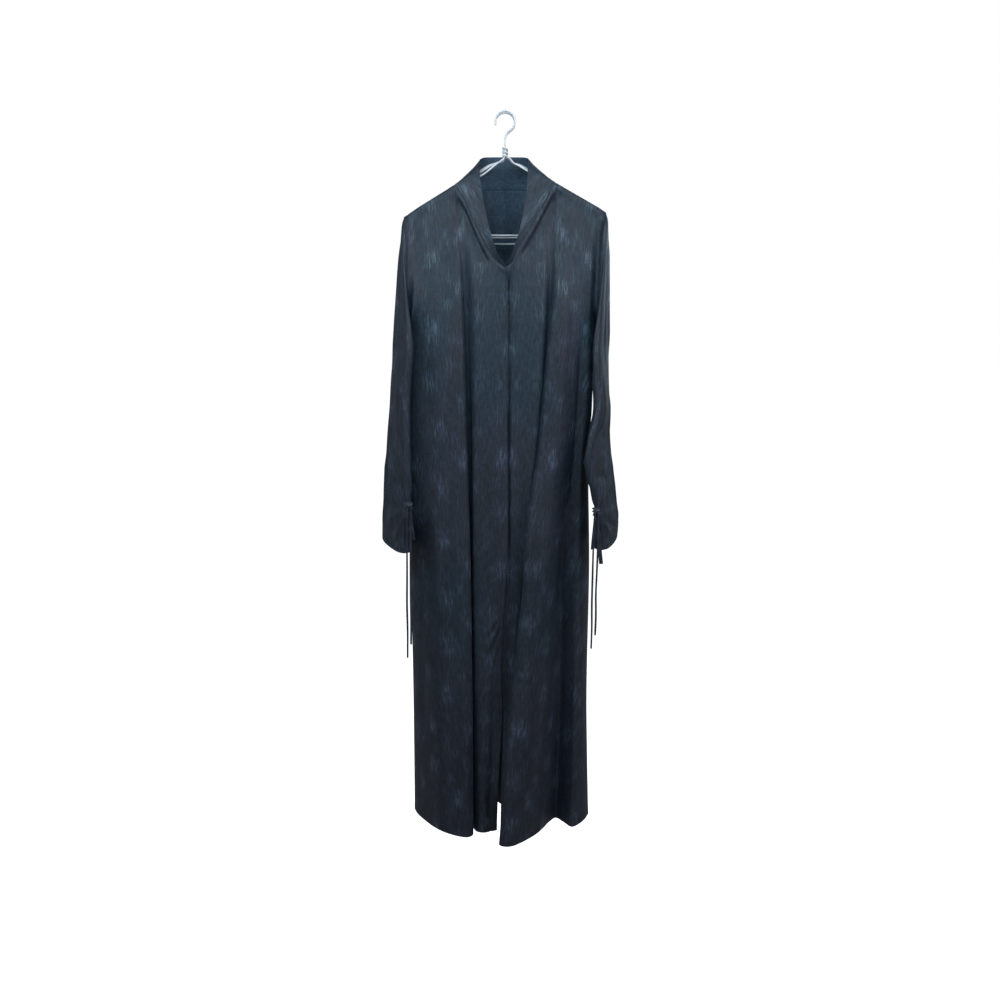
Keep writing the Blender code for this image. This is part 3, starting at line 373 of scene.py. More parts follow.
# Creases of a sleeve: y and z as seen from the side. They run round its front edge.
SLEEVE_RIGHT_CREASES = rows(
    Crease,
    (14, -236, 26, -520, 10, 3.2, -6),
    (-22, -240, -30, -560, 9, -3.2, 5),
    (34, -300, 38, -640, 8, -2.8, 4),
    (-48, -420, -54, -700, 7, 2.6, 4),
    (-2, -520, -16, -780, 9, 3.0, 6),
    (20, -560, 8, -790, 8, -2.8, -5),
    # gathers that run into the tie
    (-70, -800, -20, -690, 6, 3.4, 6),
    (-72, -806, -32, -742, 5, -3.0, 4),
    (-72, -802, 6, -762, 6, 3.0, 6),
    (-70, -808, 22, -806, 6, -3.2, -5),
    (-70, -812, 2, -846, 6, 3.0, -5),
    (-70, -814, -24, -872, 5, -3.0, -4),
    (-72, -812, -52, -884, 5, 2.8, -3),
    (30, -700, 18, -880, 8, 3.0, 4),
)

SLEEVE_LEFT_CREASES = rows(
    Crease,
    (10, -232, 22, -500, 10, 3.2, -6),
    (-24, -236, -34, -540, 9, -3.2, 5),
    (32, -300, 34, -600, 8, -2.8, 4),
    # bends at the elbow
    (-88, -690, -30, -655, 9, -3.8, 7),
    (-88, -716, -18, -706, 8, 3.6, 8),
    (-86, -740, -26, -752, 8, -3.4, 6),
    (-52, -520, -66, -660, 7, 2.8, 4),
    (4, -560, -8, -760, 9, 3.0, 6),
    # gathers that run into the tie
    (-74, -812, -26, -720, 6, 3.2, 6),
    (-74, -818, 0, -776, 6, -3.2, 6),
    (-72, -822, 18, -816, 6, 3.0, -5),
    (-70, -826, -4, -858, 6, -3.0, -5),
    (-70, -828, -38, -876, 5, 2.8, -4),
    (26, -700, 14, -868, 8, 3.0, 4),
)

COLLAR_CREASES = rows(
    Crease,
    (-66, -150, -34, -250, 5, -1.6, 6),
    (-70, -118, -48, -190, 6, 1.8, 4),
    (66, -146, 34, -240, 5, -1.8, -6),
    (70, -112, 46, -186, 6, 1.8, -4),
    (-30, -92, -22, -138, 7, 1.6, 3),
    (22, -92, 28, -136, 7, -1.6, 3),
)


# ---------------------------------------------------------------- settings

def linear(code):
    """A linear RGBA colour from an sRGB hex code."""
    shares = [int(code[i:i + 2], 16) / 255 for i in (1, 3, 5)]
    return tuple(c / 12.92 if c <= 0.04045 else ((c + 0.055) / 1.055) ** 2.4
                 for c in shares) + (1.0,)


def metres(name, description, default):
    """A property for a length in metres."""
    return FloatProperty(name=name, description=description, default=default,
                         unit="LENGTH", subtype="DISTANCE")


def colour(name, description, code):
    """A property for a colour, with an sRGB hex code as its default."""
    return FloatVectorProperty(name=name, description=description, default=linear(code),
                               size=4, min=0.0, max=1.0, subtype="COLOR")


class ABAYA_PG_cloth(bpy.types.PropertyGroup):
    thickness: metres("Thickness", "Thickness of the cloth", 1.2 * MM)
    across: IntProperty(name="Across", description="Strips of cloth for each one of the form",
                        default=4, min=1, max=8)
    down: IntProperty(name="Down", description="Rows of cloth for each one of the form",
                      default=6, min=1, max=12)
    crease: FloatProperty(name="Creasing", description="How deep the creases are", default=1.0,
                          min=0.0, max=2.0, subtype="FACTOR")
    ripple: metres("Ripple", "Height of the fine unevenness", 0.35 * MM)


class ABAYA_PG_pattern(bpy.types.PropertyGroup):
    patch_width: metres("Patch width", "Width of a brush-stroke patch", 30 * MM)
    patch_length: metres("Patch length", "Length of a patch", 44 * MM)
    repeat: metres("Repeat", "Distance between patches down the cloth", 115 * MM)
    thread: metres("Thread", "Spacing of the visible warp threads", 0.9 * MM)


class ABAYA_PG_colours(bpy.types.PropertyGroup):
    # Each colour comes in two: teal near the shoulders, which is a painted cool cast of the light
    # from above, and plum near the hem
    face_teal: colour("Face, teal", "The satin face near the shoulders", "#1C2934")
    face_plum: colour("Face, plum", "The satin face near the hem", "#242932")
    face_yarn_teal: colour("Face yarn, teal", "Its paler yarns near the shoulders", "#2A3945")
    face_yarn_plum: colour("Face yarn, plum", "Its paler yarns near the hem", "#2F3540")
    # The reverse colours are painted lighter than the cloth's own, standing in for the light that
    # reaches the inside of the back neck
    reverse_teal: colour("Reverse, teal", "The reverse near the shoulders", "#425363")
    reverse_plum: colour("Reverse, plum", "The reverse near the hem", "#484C5A")
    reverse_yarn_teal: colour("Reverse yarn, teal", "Its yarns near the shoulders", "#566979")
    reverse_yarn_plum: colour("Reverse yarn, plum", "Its yarns near the hem", "#5A6070")
    strokes_teal: colour("Strokes, teal", "The brush strokes near the shoulders", "#4A5D6B")
    strokes_plum: colour("Strokes, plum", "The brush strokes near the hem", "#505A6C")
    wire: colour("Wire", "The dip on the hangers' wire", "#F3F5F7")


class ABAYA_PG_trim(bpy.types.PropertyGroup):
    stitch_length: metres("Stitch", "Length of one stitch", 2.4 * MM)
    stitch_gap: metres("Gap", "Gap between stitches", 0.9 * MM)
    thread: metres("Sewing thread", "Thickness of the sewing thread", 0.45 * MM)
    tie_width: metres("Tie width", "Width of a tie's free end", 4.4 * MM)


class ABAYA_PG_studio(bpy.types.PropertyGroup):
    camera_distance: metres("Camera distance", "In front of the hook", 2.4)
    camera_pitch: FloatProperty(name="Camera pitch", description="How far it looks down",
                                default=math.radians(9.9), unit="ROTATION", subtype="ANGLE")
    key_power: FloatProperty(name="Key light", description="Power of the high front light",
                             default=18.8, min=0.0, unit="POWER")


# ---------------------------------------------------------------- curves

def mix(start, end, share):
    """The value a share of the way from one to the other."""
    return start + (end - start) * share


def hermite(p0, t0, p1, t1, u):
    """A point on the cubic from p0 to p1 with end tangents t0 and t1."""
    u2, u3 = u * u, u * u * u
    return (p0 * (2 * u3 - 3 * u2 + 1) + t0 * (u3 - 2 * u2 + u)
            + p1 * (3 * u2 - 2 * u3) + t1 * (u3 - u2))


def spline(knots, values, at):
    """Smooth interpolation of numbers or vectors at rising knots."""
    last = len(knots) - 1
    at = min(max(at, knots[0]), knots[last])
    i = 0
    while i < last - 1 and at > knots[i + 1]:
        i += 1

    def slope(k):
        if k == 0:
            return (values[1] - values[0]) / (knots[1] - knots[0])
        if k == last:
            return (values[last] - values[last - 1]) / (knots[last] - knots[last - 1])
        before, after = knots[k] - knots[k - 1], knots[k + 1] - knots[k]
        left = (values[k] - values[k - 1]) / before
        right = (values[k + 1] - values[k]) / after
        return (left * after + right * before) / (before + after)

    span = knots[i + 1] - knots[i]
    return hermite(values[i], slope(i) * span, values[i + 1], slope(i + 1) * span,
                   (at - knots[i]) / span)


def between(before, start, end, after, u):
    """A point between two folds, smooth through their neighbours."""
    return hermite(start, (end - before) * 0.5, end, (after - start) * 0.5, u)


def refine(points, steps, closed=False):
    """Smooth extra points along the first axis of an array, steps to each interval."""
    if closed:
        points = np.concatenate([points, points[:1]])
    gaps = points[1:] - points[:-1]
    length = np.maximum(np.linalg.norm(gaps, axis=-1, keepdims=True), 1e-7)
    way = gaps / length
    inner = (way[:-1] * length[1:] + way[1:] * length[:-1]) / (length[:-1] + length[1:])
    if closed:
        joint = (way[-1:] * length[:1] + way[:1] * length[-1:]) / (length[:1] + length[-1:])
        slopes = np.concatenate([joint, inner, joint])
    else:
        slopes = np.concatenate([way[:1], inner, way[-1:]])
    made = [hermite(points[:-1], slopes[:-1] * length, points[1:], slopes[1:] * length, k / steps)
            for k in range(steps)]
    made = np.stack(made, axis=1).reshape(-1, *points.shape[1:])
    return made if closed else np.concatenate([made, points[-1:]])


# ---------------------------------------------------------------- shoulders and armholes

def slope_at(x):
    """How steeply the hangers' arms fall on this side."""
    return SLOPE_LEFT if x > 0 else SLOPE_RIGHT


def arm_z(x):
    """Height of a hanger's arm: level at the neck, then a straight fall."""
    run = abs(x)
    if run < NECK_BEND:
        return ROOT_Z - slope_at(x) * run * run / (2 * NECK_BEND)
    return ROOT_Z - slope_at(x) * (run - NECK_BEND / 2)


def shoulder_point(x):
    """The crest of the shoulder, which lies on the hangers' arms."""
    return Vector((x, 0.0, arm_z(x) + CREST_RISE))


def signed_power(value, power):
    return math.copysign(abs(value) ** power, value)


def armhole(side, angle):
    """The armhole loop: 0 at the shoulder tip, 90 at the front, 180 at the underarm."""
    tip = shoulder_point(side * TIP_X)
    half_height = (tip.z - UNDERARM_Z) / 2
    power = 2 / ARMHOLE_POWER
    c, s = math.cos(angle), math.sin(angle)
    lean = ARMHOLE_LEAN_LEFT if side > 0 else ARMHOLE_LEAN_RIGHT
    x = TIP_X - lean * (1 - c) / 2 - ARMHOLE_WAIST * s * s
    return Vector((side * x, -ARMHOLE_HALF_DEPTH * signed_power(s, power),
                   tip.z - half_height + half_height * signed_power(c, power)))


def armhole_normal(side, angle):
    """Outward in the loop's plane, leaning with the shoulder at the top and the side seam
    at the underarm."""
    step = 0.02
    along = armhole(side, angle + step) - armhole(side, angle - step)
    outward = Vector((0.0, -along.z, along.y)).normalized()
    if outward.y * -math.sin(angle) + outward.z * math.cos(angle) < 0:
        outward = -outward
    c = math.cos(angle)
    lean = slope_at(side) * max(0.0, c) ** 3 + UNDERARM_LEAN * max(0.0, -c) ** 3
    return (outward + Vector((side * lean, 0.0, 0.0))).normalized()


def angle_at_depth(depth):
    """The armhole angle at which the loop is this far in front of the shoulder seam."""
    return math.asin((depth / ARMHOLE_HALF_DEPTH) ** (ARMHOLE_POWER / 2))


CREST_FRONT_Y = OVER_ARM_Y + 2.0 * MM
# The first steps of the cloth, outward and down, from each kind of top edge
SHOULDER_STEPS = ((0, 0), (OVER_ARM_Y, 0), (CREST_FRONT_Y, -4.3 * MM))
OVER_ARM_STEPS = ((0, 0), (1.0 * MM, -1.2 * MM), (2.1 * MM, -6.0 * MM))
NECK_STEPS = ((0, 0), (0.8 * MM, -4.0 * MM), (1.5 * MM, -8.5 * MM))
CREST_ANGLES = (0.0, angle_at_depth(OVER_ARM_Y), angle_at_depth(CREST_FRONT_Y))
ROW_ANGLES = CREST_ANGLES + tuple(math.radians(a) for a in ARMHOLE_ANGLES)


# ---------------------------------------------------------------- body panels

def neck_point(table, share, free=False):
    """A point of the neck edge, or of the collar's free edge, at a share of the table."""
    points = [Vector(row[3:] if free else row[:3]) * MM for row in table]
    return spline(range(len(points)), points, share * (len(points) - 1))


def over_arm(side, face):
    """Where the neck edge crosses the hangers' arms, in front of them or behind."""
    x = side * OVER_ARM_X
    return Vector((x, face * OVER_ARM_Y, shoulder_point(x).z))


def front_top(side, table, top):
    """A point of a front's top edge, and the steps down from it. The neck edge runs to 1, the
    stretch over the arms to 2, and the shoulder seam to 3."""
    if top <= 1.0:
        return neck_point(table, top), NECK_STEPS
    if top < 2.0:
        return over_arm(side, -1.0), OVER_ARM_STEPS
    return shoulder_point(side * mix(NECK_POINT_X, TIP_X, top - 2.0)), SHOULDER_STEPS


def back_top(top):
    """The same for the back: seam, arms, neck edge from 2 to 4, arms, seam to 6."""
    side = -1.0 if top < 3.0 else 1.0
    reach = min(top, 6.0 - top)
    if reach <= 1.0:
        return shoulder_point(side * mix(TIP_X, NECK_POINT_X, reach)), SHOULDER_STEPS
    if reach < 2.0:
        return over_arm(side, 1.0), OVER_ARM_STEPS
    return neck_point(NECK_BACK, (top - 2.0) / 2), NECK_STEPS


def fold_points(fold):
    """A fold's points at the LEVELS."""
    places = fold[3:]
    return [Vector((x * MM, y * MM, z)) for x, y, z in zip(places[::2], places[1::2], LEVELS)]


def columns_of(folds, before, after):
    """Yield, for each column of mesh, its top place, its points at the LEVELS, the fold it
    follows and how far it is on the way to the next."""
    points = [before] + [fold_points(f) for f in folds] + [after]
    for i, (fold, following) in enumerate(zip(folds, folds[1:])):
        for step in range(fold.columns):
            u = step / fold.columns
            level_points = [between(*four, u) for four in zip(*points[i:i + 4])]
            yield mix(fold.top, following.top, u), level_points, i, u
    yield folds[-1].top, points[-2], len(folds) - 1, 0.0


def column_point(start, level_points, z):
    """A point of a column between its start and the hem."""
    chain = [start] + level_points
    return spline([-p.z for p in chain], chain, -z)


def top_share(row):
    """How far an upper row is on the way from the crest to the underarm."""
    start, here = armhole(1.0, ROW_ANGLES[2]).z, armhole(1.0, ROW_ANGLES[row]).z
    return (start - here) / (start - UNDERARM_Z)


def side_edge(side, face, level_points, row):
    """The armhole, then the side seam, which flares out to meet it."""
    if row < len(ROW_ANGLES):
        return armhole(side, -face * ROW_ANGLES[row])
    z = LOWER_ROWS[row - len(ROW_ANGLES)]
    flare = abs(armhole(side, math.pi).x) - abs(level_points[0].x)
    point = column_point(level_points[0], level_points[1:], z)
    point.x += side * flare * math.exp((z - UNDERARM_Z) / UNDERARM_FLARE_RUN)
    return point


def opening_edge(z, over):
    """A point of a front's opening edge: over is the right front's, which laps outside."""
    points = [Vector((*(lap[1:3] if over else lap[3:5]), lap.z)) * MM for lap in OPENING]
    return spline([-lap.z * MM for lap in OPENING], points, -z)


def plain_grid(folds, before, after, top_edge, face):
    """The panel's grid, column by column, before its edges are set."""
    grid, marks = [], []
    for top, level_points, fold, u in columns_of(folds, before, after):
        edge, steps = top_edge(top)
        column = [edge + Vector((0.0, face * y, z)) for y, z in steps]
        start = column[-1]
        heights = [mix(start.z, UNDERARM_Z, top_share(row))
                   for row in range(len(steps), len(ROW_ANGLES))]
        column += [column_point(start, level_points, z) for z in (*heights, *LOWER_ROWS)]
        grid.append(column)
        marks.append((top, fold, u, level_points))
    return grid, marks


def pull_edge(grid, marks, edge_column, targets, span_fold):
    """Move an edge column onto its true line, and the columns of one fold span with it."""
    shifts = [target - point for target, point in zip(targets, grid[edge_column])]
    for i, (_, fold, u, _) in enumerate(marks):
        weight = ((1.0 - u) ** 2 if edge_column == 0 else u * u) if fold == span_fold else 0.0
        if i == edge_column:
            weight = 1.0
        for row, shift in enumerate(shifts):
            grid[i][row] = grid[i][row] + shift * weight


def front_grid(side):
    """A front, from its opening edge to the side seam; side is -1 for the wearer's right."""
    folds = FRONT_RIGHT_FOLDS if side < 0 else FRONT_LEFT_FOLDS
    table = NECK_RIGHT if side < 0 else NECK_LEFT
    next_fold = BACK_FOLDS[1] if side < 0 else BACK_FOLDS[-2]
    before = [a * 2 - b for a, b in zip(fold_points(folds[0]), fold_points(folds[1]))]
    grid, marks = plain_grid(folds, before, fold_points(next_fold),
                             partial(front_top, side, table), -1.0)
    edge = [grid[0][row] if row < 3 else opening_edge(grid[0][row].z, side < 0)
            for row in range(len(grid[0]))]
    pull_edge(grid, marks, 0, edge, 0)
    seam = [side_edge(side, -1.0, marks[-1][3], row) for row in range(len(grid[0]))]
    pull_edge(grid, marks, len(grid) - 1, seam, len(folds) - 2)
    return grid, [mark[0] for mark in marks]


def back_grid():
    """The back, from the wearer's right side seam to the left."""
    grid, marks = plain_grid(BACK_FOLDS, fold_points(FRONT_RIGHT_FOLDS[-2]),
                             fold_points(FRONT_LEFT_FOLDS[-2]), back_top, 1.0)
    for side, edge_column, span in ((-1.0, 0, 0), (1.0, len(grid) - 1, len(BACK_FOLDS) - 2)):
        seam = [side_edge(side, 1.0, marks[edge_column][3], row) for row in range(len(grid[0]))]
        pull_edge(grid, marks, edge_column, seam, span)
    return grid, [mark[0] for mark in marks]


# ---------------------------------------------------------------- sleeves, collar and wires

def ring_point(ring, side, angle):
    """A point of a sleeve's ring: 0 is outward from the body, 90 degrees the front end."""
    front, back = (Vector((*place, 0)) * MM for place in (ring[1:3], ring[3:5]))
    axis = (back - front) / 2
    outward = Vector((axis.y, -axis.x, 0)).normalized() * side
    point = (front + back) / 2 - axis * math.sin(angle)
    point += outward * (ring.half * MM * signed_power(math.cos(angle), RING_BLUNTNESS))
    point.z = ring.z * MM + ring.rise * point.y
    return point


def sleeve_grid(side):
    """A sleeve: each column runs from a point of the armhole to the cuff."""
    rings = SLEEVE_RIGHT_RINGS if side < 0 else SLEEVE_LEFT_RINGS
    angles = list(ROW_ANGLES) + [2 * math.pi - a for a in reversed(ROW_ANGLES[1:-1])]
    grid = []
    for i, loop_angle in enumerate(angles):
        ring_angle = 2 * math.pi * i / len(angles)
        out = armhole_normal(side, loop_angle)
        lean = Vector((side * SLEEVE_LEAN, 0.0, -1.0))
        leave = (lean - out * lean.dot(out)).normalized() * CAP_REACH
        below = [ring_point(ring, side, ring_angle) for ring in rings]
        arrive = (below[1] - below[0]).normalized() * CAP_FALL
        start = armhole(side, loop_angle)
        column = [start] + [hermite(start, leave, below[0], arrive, u) for u in CAP_STEPS]
        grid.append(column + below)
    return grid


def front_free_edge(side, top):
    """The collar's free edge over a point of a front's neck edge."""
    table, name = (NECK_RIGHT, "right") if side < 0 else (NECK_LEFT, "left")
    if top > 1.0:
        return Vector(FREE_AT_ARM[name if top >= 2.0 else name + "_front"]) * MM
    return neck_point(table, top, free=True)


def back_free_edge(top):
    """The collar's free edge over a point of the back's neck edge."""
    if not 2.0 <= top <= 4.0:
        return Vector(FREE_AT_ARM["right_back" if top < 3.0 else "left_back"]) * MM
    return neck_point(NECK_BACK, (top - 2.0) / 2, free=True)


def collar_grid(fronts, back):
    """The band from the neck edge to its free edge, right front round the back to the left."""
    right, left = ([(column[0], front_free_edge(side, top)) for column, top in zip(*front)
                    if top <= 2.0] for side, front in zip((-1.0, 1.0), fronts))
    loop = right + [(column[0], back_free_edge(top)) for column, top in zip(*back)
                    if 1.0 < top < 5.0] + left[::-1]
    return [[mix(low, high, v) for v in COLLAR_STEPS] for low, high in loop]


def hanger_points(hanger):
    """One wire: wrapped end, left arm, bar, right arm, stem and hook."""
    wrap_r = (2 * WIRE_R + 0.4 * MM) / math.cos(math.pi / WRAP_SIDES)
    wrap_low = ROOT_Z + 0.010
    points = []
    steps = int(WRAP_TURNS * WRAP_SIDES)
    for i in range(steps + 1):
        angle = -math.pi / 2 - 2 * math.pi * (steps - i) / WRAP_SIDES
        height = wrap_low + WRAP_LENGTH * (steps - i) / steps
        points.append((wrap_r * math.cos(angle), wrap_r * math.sin(angle), height))
    points.append((0.008, -wrap_r * 0.75, ROOT_Z + 0.0055))

    def arm(side):
        hump = (hanger.hump_left if side > 0 else hanger.hump_right) * MM
        for x in ARM_STEPS:
            lift = hump * math.sin(math.pi * min(x / HUMP_REACH, 1.0)) ** 2
            yield (side * x, 0.0, arm_z(side * x) + lift)

    def tip(side):
        """The bend at the arm's end, turning down and back to the bar."""
        fall = math.atan(slope_at(side))
        bar = hanger.bar_z * MM
        end_z = arm_z(side * ARM_END_X)
        radius = min(TIP_BEND_R, (end_z - bar) / (1 + math.cos(fall)))
        centre_x = ARM_END_X - radius * math.sin(fall)
        centre_z = end_z - radius * math.cos(fall)
        start = math.pi / 2 - fall
        for i in range(TIP_STEPS + 1):
            a = start - i * (start + math.pi / 2) / TIP_STEPS
            yield (side * (centre_x + radius * math.cos(a)), 0.0,
                   centre_z + radius * math.sin(a))

    left_tip, right_tip = list(tip(1.0)), list(tip(-1.0))
    points += [*arm(1.0), *left_tip]
    bar_z, sag = hanger.bar_z * MM, hanger.bar_sag * MM
    for i in range(1, BAR_STEPS):
        share = i / BAR_STEPS
        level = mix(left_tip[-1][2], right_tip[-1][2], share)
        droop = sag * math.sin(math.pi * share)
        toward = math.sin(math.pi * share) ** 0.5
        points.append((mix(left_tip[-1][0], right_tip[-1][0], share), 0.0,
                       mix(level, bar_z, toward) - droop))
    points += [*right_tip[::-1], *reversed(list(arm(-1.0)))]
    # up through the wrapped neck and round the hook
    points += [(-0.0065, 0.0, ROOT_Z + 0.0016), (-0.0018, 0.0, ROOT_Z + 0.0055),
               (0.0, 0.0, ROOT_Z + 0.012)]
    centre_z = WIRE_R - HOOK_R
    points += [(0.0, 0.0, wrap_low + WRAP_LENGTH + 0.006), (0.0, 0.0, centre_z - HOOK_R - 0.012),
               (0.0035, 0.0, centre_z - HOOK_R - 0.003)]
    for i in range(HOOK_STEPS + 1):
        a = math.radians(HOOK_START + i * HOOK_SWEEP / HOOK_STEPS)
        points.append((HOOK_R * math.cos(a), 0.0, centre_z + HOOK_R * math.sin(a)))
    return np.array([(x, hanger.y + y, z) for x, y, z in points])


# ---------------------------------------------------------------- cloth

# A crease fades over this share of its length at each end. Creases start a little below the
# top edge, and grow over a short run from there and from the seams.
CREASE_FADE = 0.22
PLAIN_TOP = 0.014
CREASE_RUN = 0.018
RIPPLE_LENGTHS = (0.085, 0.052, 0.034, 0.023)
RIPPLE_SUM = 2.3
# How far around the underarm the cloth is evened out, and how many times
UNDERARM_REACH = 0.060
UNDERARM_ROUNDS = 160
# A turned hem is thicker by this share, which falls off over a short step
HEM_FULLNESS = 0.55
HEM_STEP = 2.5 * MM
# A seam allowance lifts the cloth beside a side seam, and beside the neck edge, where it
# fades out towards the shoulder
SIDE_SEAM_RISE = 0.9 * MM
SIDE_SEAM_RUN = 0.010
NECK_SEAM_RUN = 0.005
NECK_SEAM_FADE = 0.012
STITCH_LIFT = 0.1 * MM


def smooth_step(values):
    """A share held to 0..1, with soft ends."""
    values = np.clip(values, 0.0, 1.0)
    return values * values * (3 - 2 * values)


def unit(vectors):
    """Vectors scaled to length 1."""
    return vectors / np.maximum(np.linalg.norm(vectors, axis=-1, keepdims=True), 1e-12)


def run_length(points, axis):
    """Distance along one axis of a grid of points, from its start."""
    steps = np.linalg.norm(np.diff(points, axis=axis), axis=-1)
    start = np.zeros_like(np.take(steps, [0], axis=axis))
    return np.concatenate([start, np.cumsum(steps, axis=axis)], axis=axis)


def lengths(points):
    """Distances across and down a panel."""
    return run_length(points, 0), run_length(points, 1)


def beside(across, column):
    """Distances from a column of a panel."""
    return np.abs(across - across[[column]])


def facing(points, sign, closed):
    """Unit normals of a grid of points, to the outside of the garment."""
    if closed:
        over = np.roll(points, -1, axis=0) - np.roll(points, 1, axis=0)
    else:
        over = np.gradient(points, axis=0)
    return unit(np.cross(unit(over), unit(np.gradient(points, axis=1)))) * sign


def crease_rise(flat, creases):
    """How far the creases lift each point of a panel, seen flat."""
    rise = np.zeros(flat.shape[:2])
    for crease in creases:
        start = np.array((crease.x1, crease.z1)) * MM
        run = np.array((crease.x2, crease.z2)) * MM - start
        length = np.linalg.norm(run)
        along = (flat - start) @ run / length ** 2
        bow = crease.bow * MM * np.sin(np.pi * np.clip(along, 0.0, 1.0))
        side = (flat - start) @ np.array((-run[1], run[0])) / length - bow
        fade = smooth_step(np.minimum(along, 1.0 - along) / CREASE_FADE)
        rise += crease.height * MM * fade * np.exp(-(side / (crease.width * MM)) ** 2)
    return rise


def ripple_rise(u, v, seed):
    """A fine, uneven waviness along the grain, between -1 and 1."""
    draw = np.random.default_rng(seed)
    rise = np.zeros_like(u)
    for length in RIPPLE_LENGTHS:
        turn, phase, drift = draw.uniform(-0.30, 0.30), *draw.uniform(0.0, 6.3, 2)
        waves = np.sin(2 * np.pi * (u + turn * v) / length + phase)
        breaks = np.sin(2 * np.pi * v / (length * 6) + drift)
        rise += waves * breaks * length / RIPPLE_LENGTHS[0]
    return rise / RIPPLE_SUM


def relax(points, centre, reach, rounds):
    """Even out a grid of points around a place, leaving its edges where they are."""
    near = np.exp(-(np.linalg.norm(points - centre, axis=-1) / reach) ** 4)[1:-1, 1:-1, None]
    for _ in range(rounds):
        middle = (points[2:, 1:-1] + points[:-2, 1:-1] + points[1:-1, 2:] + points[1:-1, :-2]) / 4
        points[1:-1, 1:-1] += (middle - points[1:-1, 1:-1]) * near


def quads(table):
    """The four corners of each cell of a grid."""
    return np.stack([table[:-1, :-1], table[1:, :-1], table[1:, 1:], table[:-1, 1:]],
                    axis=2).reshape(-1, 4, *table.shape[2:])


def add_object(name, data, place=(0.0, 0.0, 0.0)):
    """A new object in the scene."""
    obj = bpy.data.objects.new(name, data)
    obj.location = place
    bpy.context.collection.objects.link(obj)
    return obj


class Cloth:
    """A panel of cloth: its middle surface, its normals and its place on the grain. It is part
    of the body, a tube for an arm, or a band, whose grain runs along it."""

    def __init__(self, kind, grid, sign, creases, seed):
        settings = bpy.context.scene.abaya_cloth
        closed = self.closed = kind == "tube"
        level = (len(ROW_ANGLES) - 1) * settings.down if kind == "body" else 0
        coarse = np.array([[tuple(p) for p in column] for column in grid])
        points = refine(coarse, settings.across, closed)
        points = np.swapaxes(refine(np.swapaxes(points, 0, 1), settings.down), 0, 1)
        if closed:
            # the seam of a sleeve runs under the arm
            points = np.roll(points, points.shape[0] // 2, axis=0)
        if kind == "body":
            for side in (-1.0, 1.0):
                relax(points, np.array(armhole(side, math.pi)), UNDERARM_REACH, UNDERARM_ROUNDS)
        across, down = lengths(points)
        self.u, self.v = self.grain(points, across, down, level)
        free = down
        if not closed:
            # none over the hangers' arms, nor at the seams
            free = np.minimum(down - PLAIN_TOP, np.minimum(across, across[-1] - across))
        normals = facing(points, sign, closed)
        rise = crease_rise(points[..., [1, 2] if closed else [0, 2]], creases) * settings.crease
        rise += ripple_rise(self.u, self.v, seed) * settings.ripple
        points = points + normals * (rise * smooth_step(free / CREASE_RUN))[..., None]
        self.points, self.normals = points, facing(points, sign, closed)
        self.half = np.full(points.shape[:2], settings.thickness / 2)

    def grain(self, points, across, down, level):
        """Each point's place on the cloth, in metres: across the grain, then along it."""
        if self.closed:
            return across - across[0], down[:, [level]] - down
        u = across - across[points.shape[0] // 2]
        if not level:
            return down, across
        # above the underarm the grain stays upright, whatever way the columns lean
        way = math.copysign(1.0, points[-1, level, 0] - points[0, level, 0])
        level_x = np.maximum.accumulate(points[:, level, 0] * way)
        for row in range(level):
            u[:, row] = np.interp(points[:, row, 0] * way, level_x, u[:, level])
        rise = np.linalg.norm(np.diff(points[..., 1:], axis=1), axis=-1)
        upright = np.concatenate([np.zeros_like(down[:, :1]), np.cumsum(rise, axis=1)], axis=1)
        v = np.where(np.arange(points.shape[1]) < level, upright[:, [level]] - upright,
                     down[:, [level]] - down)
        return u, v

    def turn_up(self, depth, columns):
        """Thicken the turned hem along the bottom edge, and along the given end columns."""
        across, down = lengths(self.points)
        for distance in (down[:, -1:] - down, *(beside(across, column) for column in columns)):
            self.half *= 1.0 + HEM_FULLNESS * (1.0 - smooth_step((distance - depth) / HEM_STEP))

    def seams(self, neck, columns):
        """Raise the neck edge (or sink it, below zero), and the given end columns."""
        across, down = lengths(self.points)
        at_neck = (NECK_POINT_X - np.abs(self.points[:, :1, 0])) / NECK_SEAM_FADE
        lift = neck * smooth_step(at_neck) * (1.0 - smooth_step(down / NECK_SEAM_RUN))
        for column in columns:
            lift += SIDE_SEAM_RISE * (1.0 - smooth_step(beside(across, column) / SIDE_SEAM_RUN))
        self.points = self.points + self.normals * lift[..., None]

    def line(self, edge, distance):
        """Points on the outer face at a distance from the top, the bottom or a column."""
        across, down = lengths(self.points)
        face = self.points + self.normals * (self.half + STITCH_LIFT)[..., None]
        if isinstance(edge, int):
            away, face = beside(across, edge).T, np.swapaxes(face, 0, 1)
        else:
            away = down if edge == "top" else down[:, -1:] - down
            if self.closed:
                away, face = np.concatenate([away, away[:1]]), np.concatenate([face, face[:1]])
        points = []
        for reach, run in zip(away, face):
            order = np.argsort(reach)
            points.append([np.interp(distance, reach[order], run[order, i]) for i in range(3)])
        return points

    def mesh(self, name, materials):
        """The panel as a closed shell, with its grain in metres as the UV map."""
        wide, tall = self.points.shape[:2]
        lift = self.normals * self.half[..., None]
        verts = np.concatenate([(self.points + lift).reshape(-1, 3),
                                (self.points - lift).reshape(-1, 3)])
        index = np.arange(wide * tall).reshape(wide, tall)
        u, v = self.u, self.v
        if self.closed:
            index = np.concatenate([index, index[:1]])
            closing = np.linalg.norm(self.points[0] - self.points[-1], axis=-1)
            u = np.concatenate([u, (u[-1] + closing)[None]])
            v = np.concatenate([v, v[:1]])
        grain = np.stack([u, v], axis=-1)

        def rim(line, places, flip):
            under = line + wide * tall
            ring = np.stack([line[:-1], line[1:], under[1:], under[:-1]], axis=1)
            where = np.stack([places[:-1], places[1:], places[1:], places[:-1]], axis=1)
            return (ring[:, ::-1], where[:, ::-1]) if flip else (ring, where)

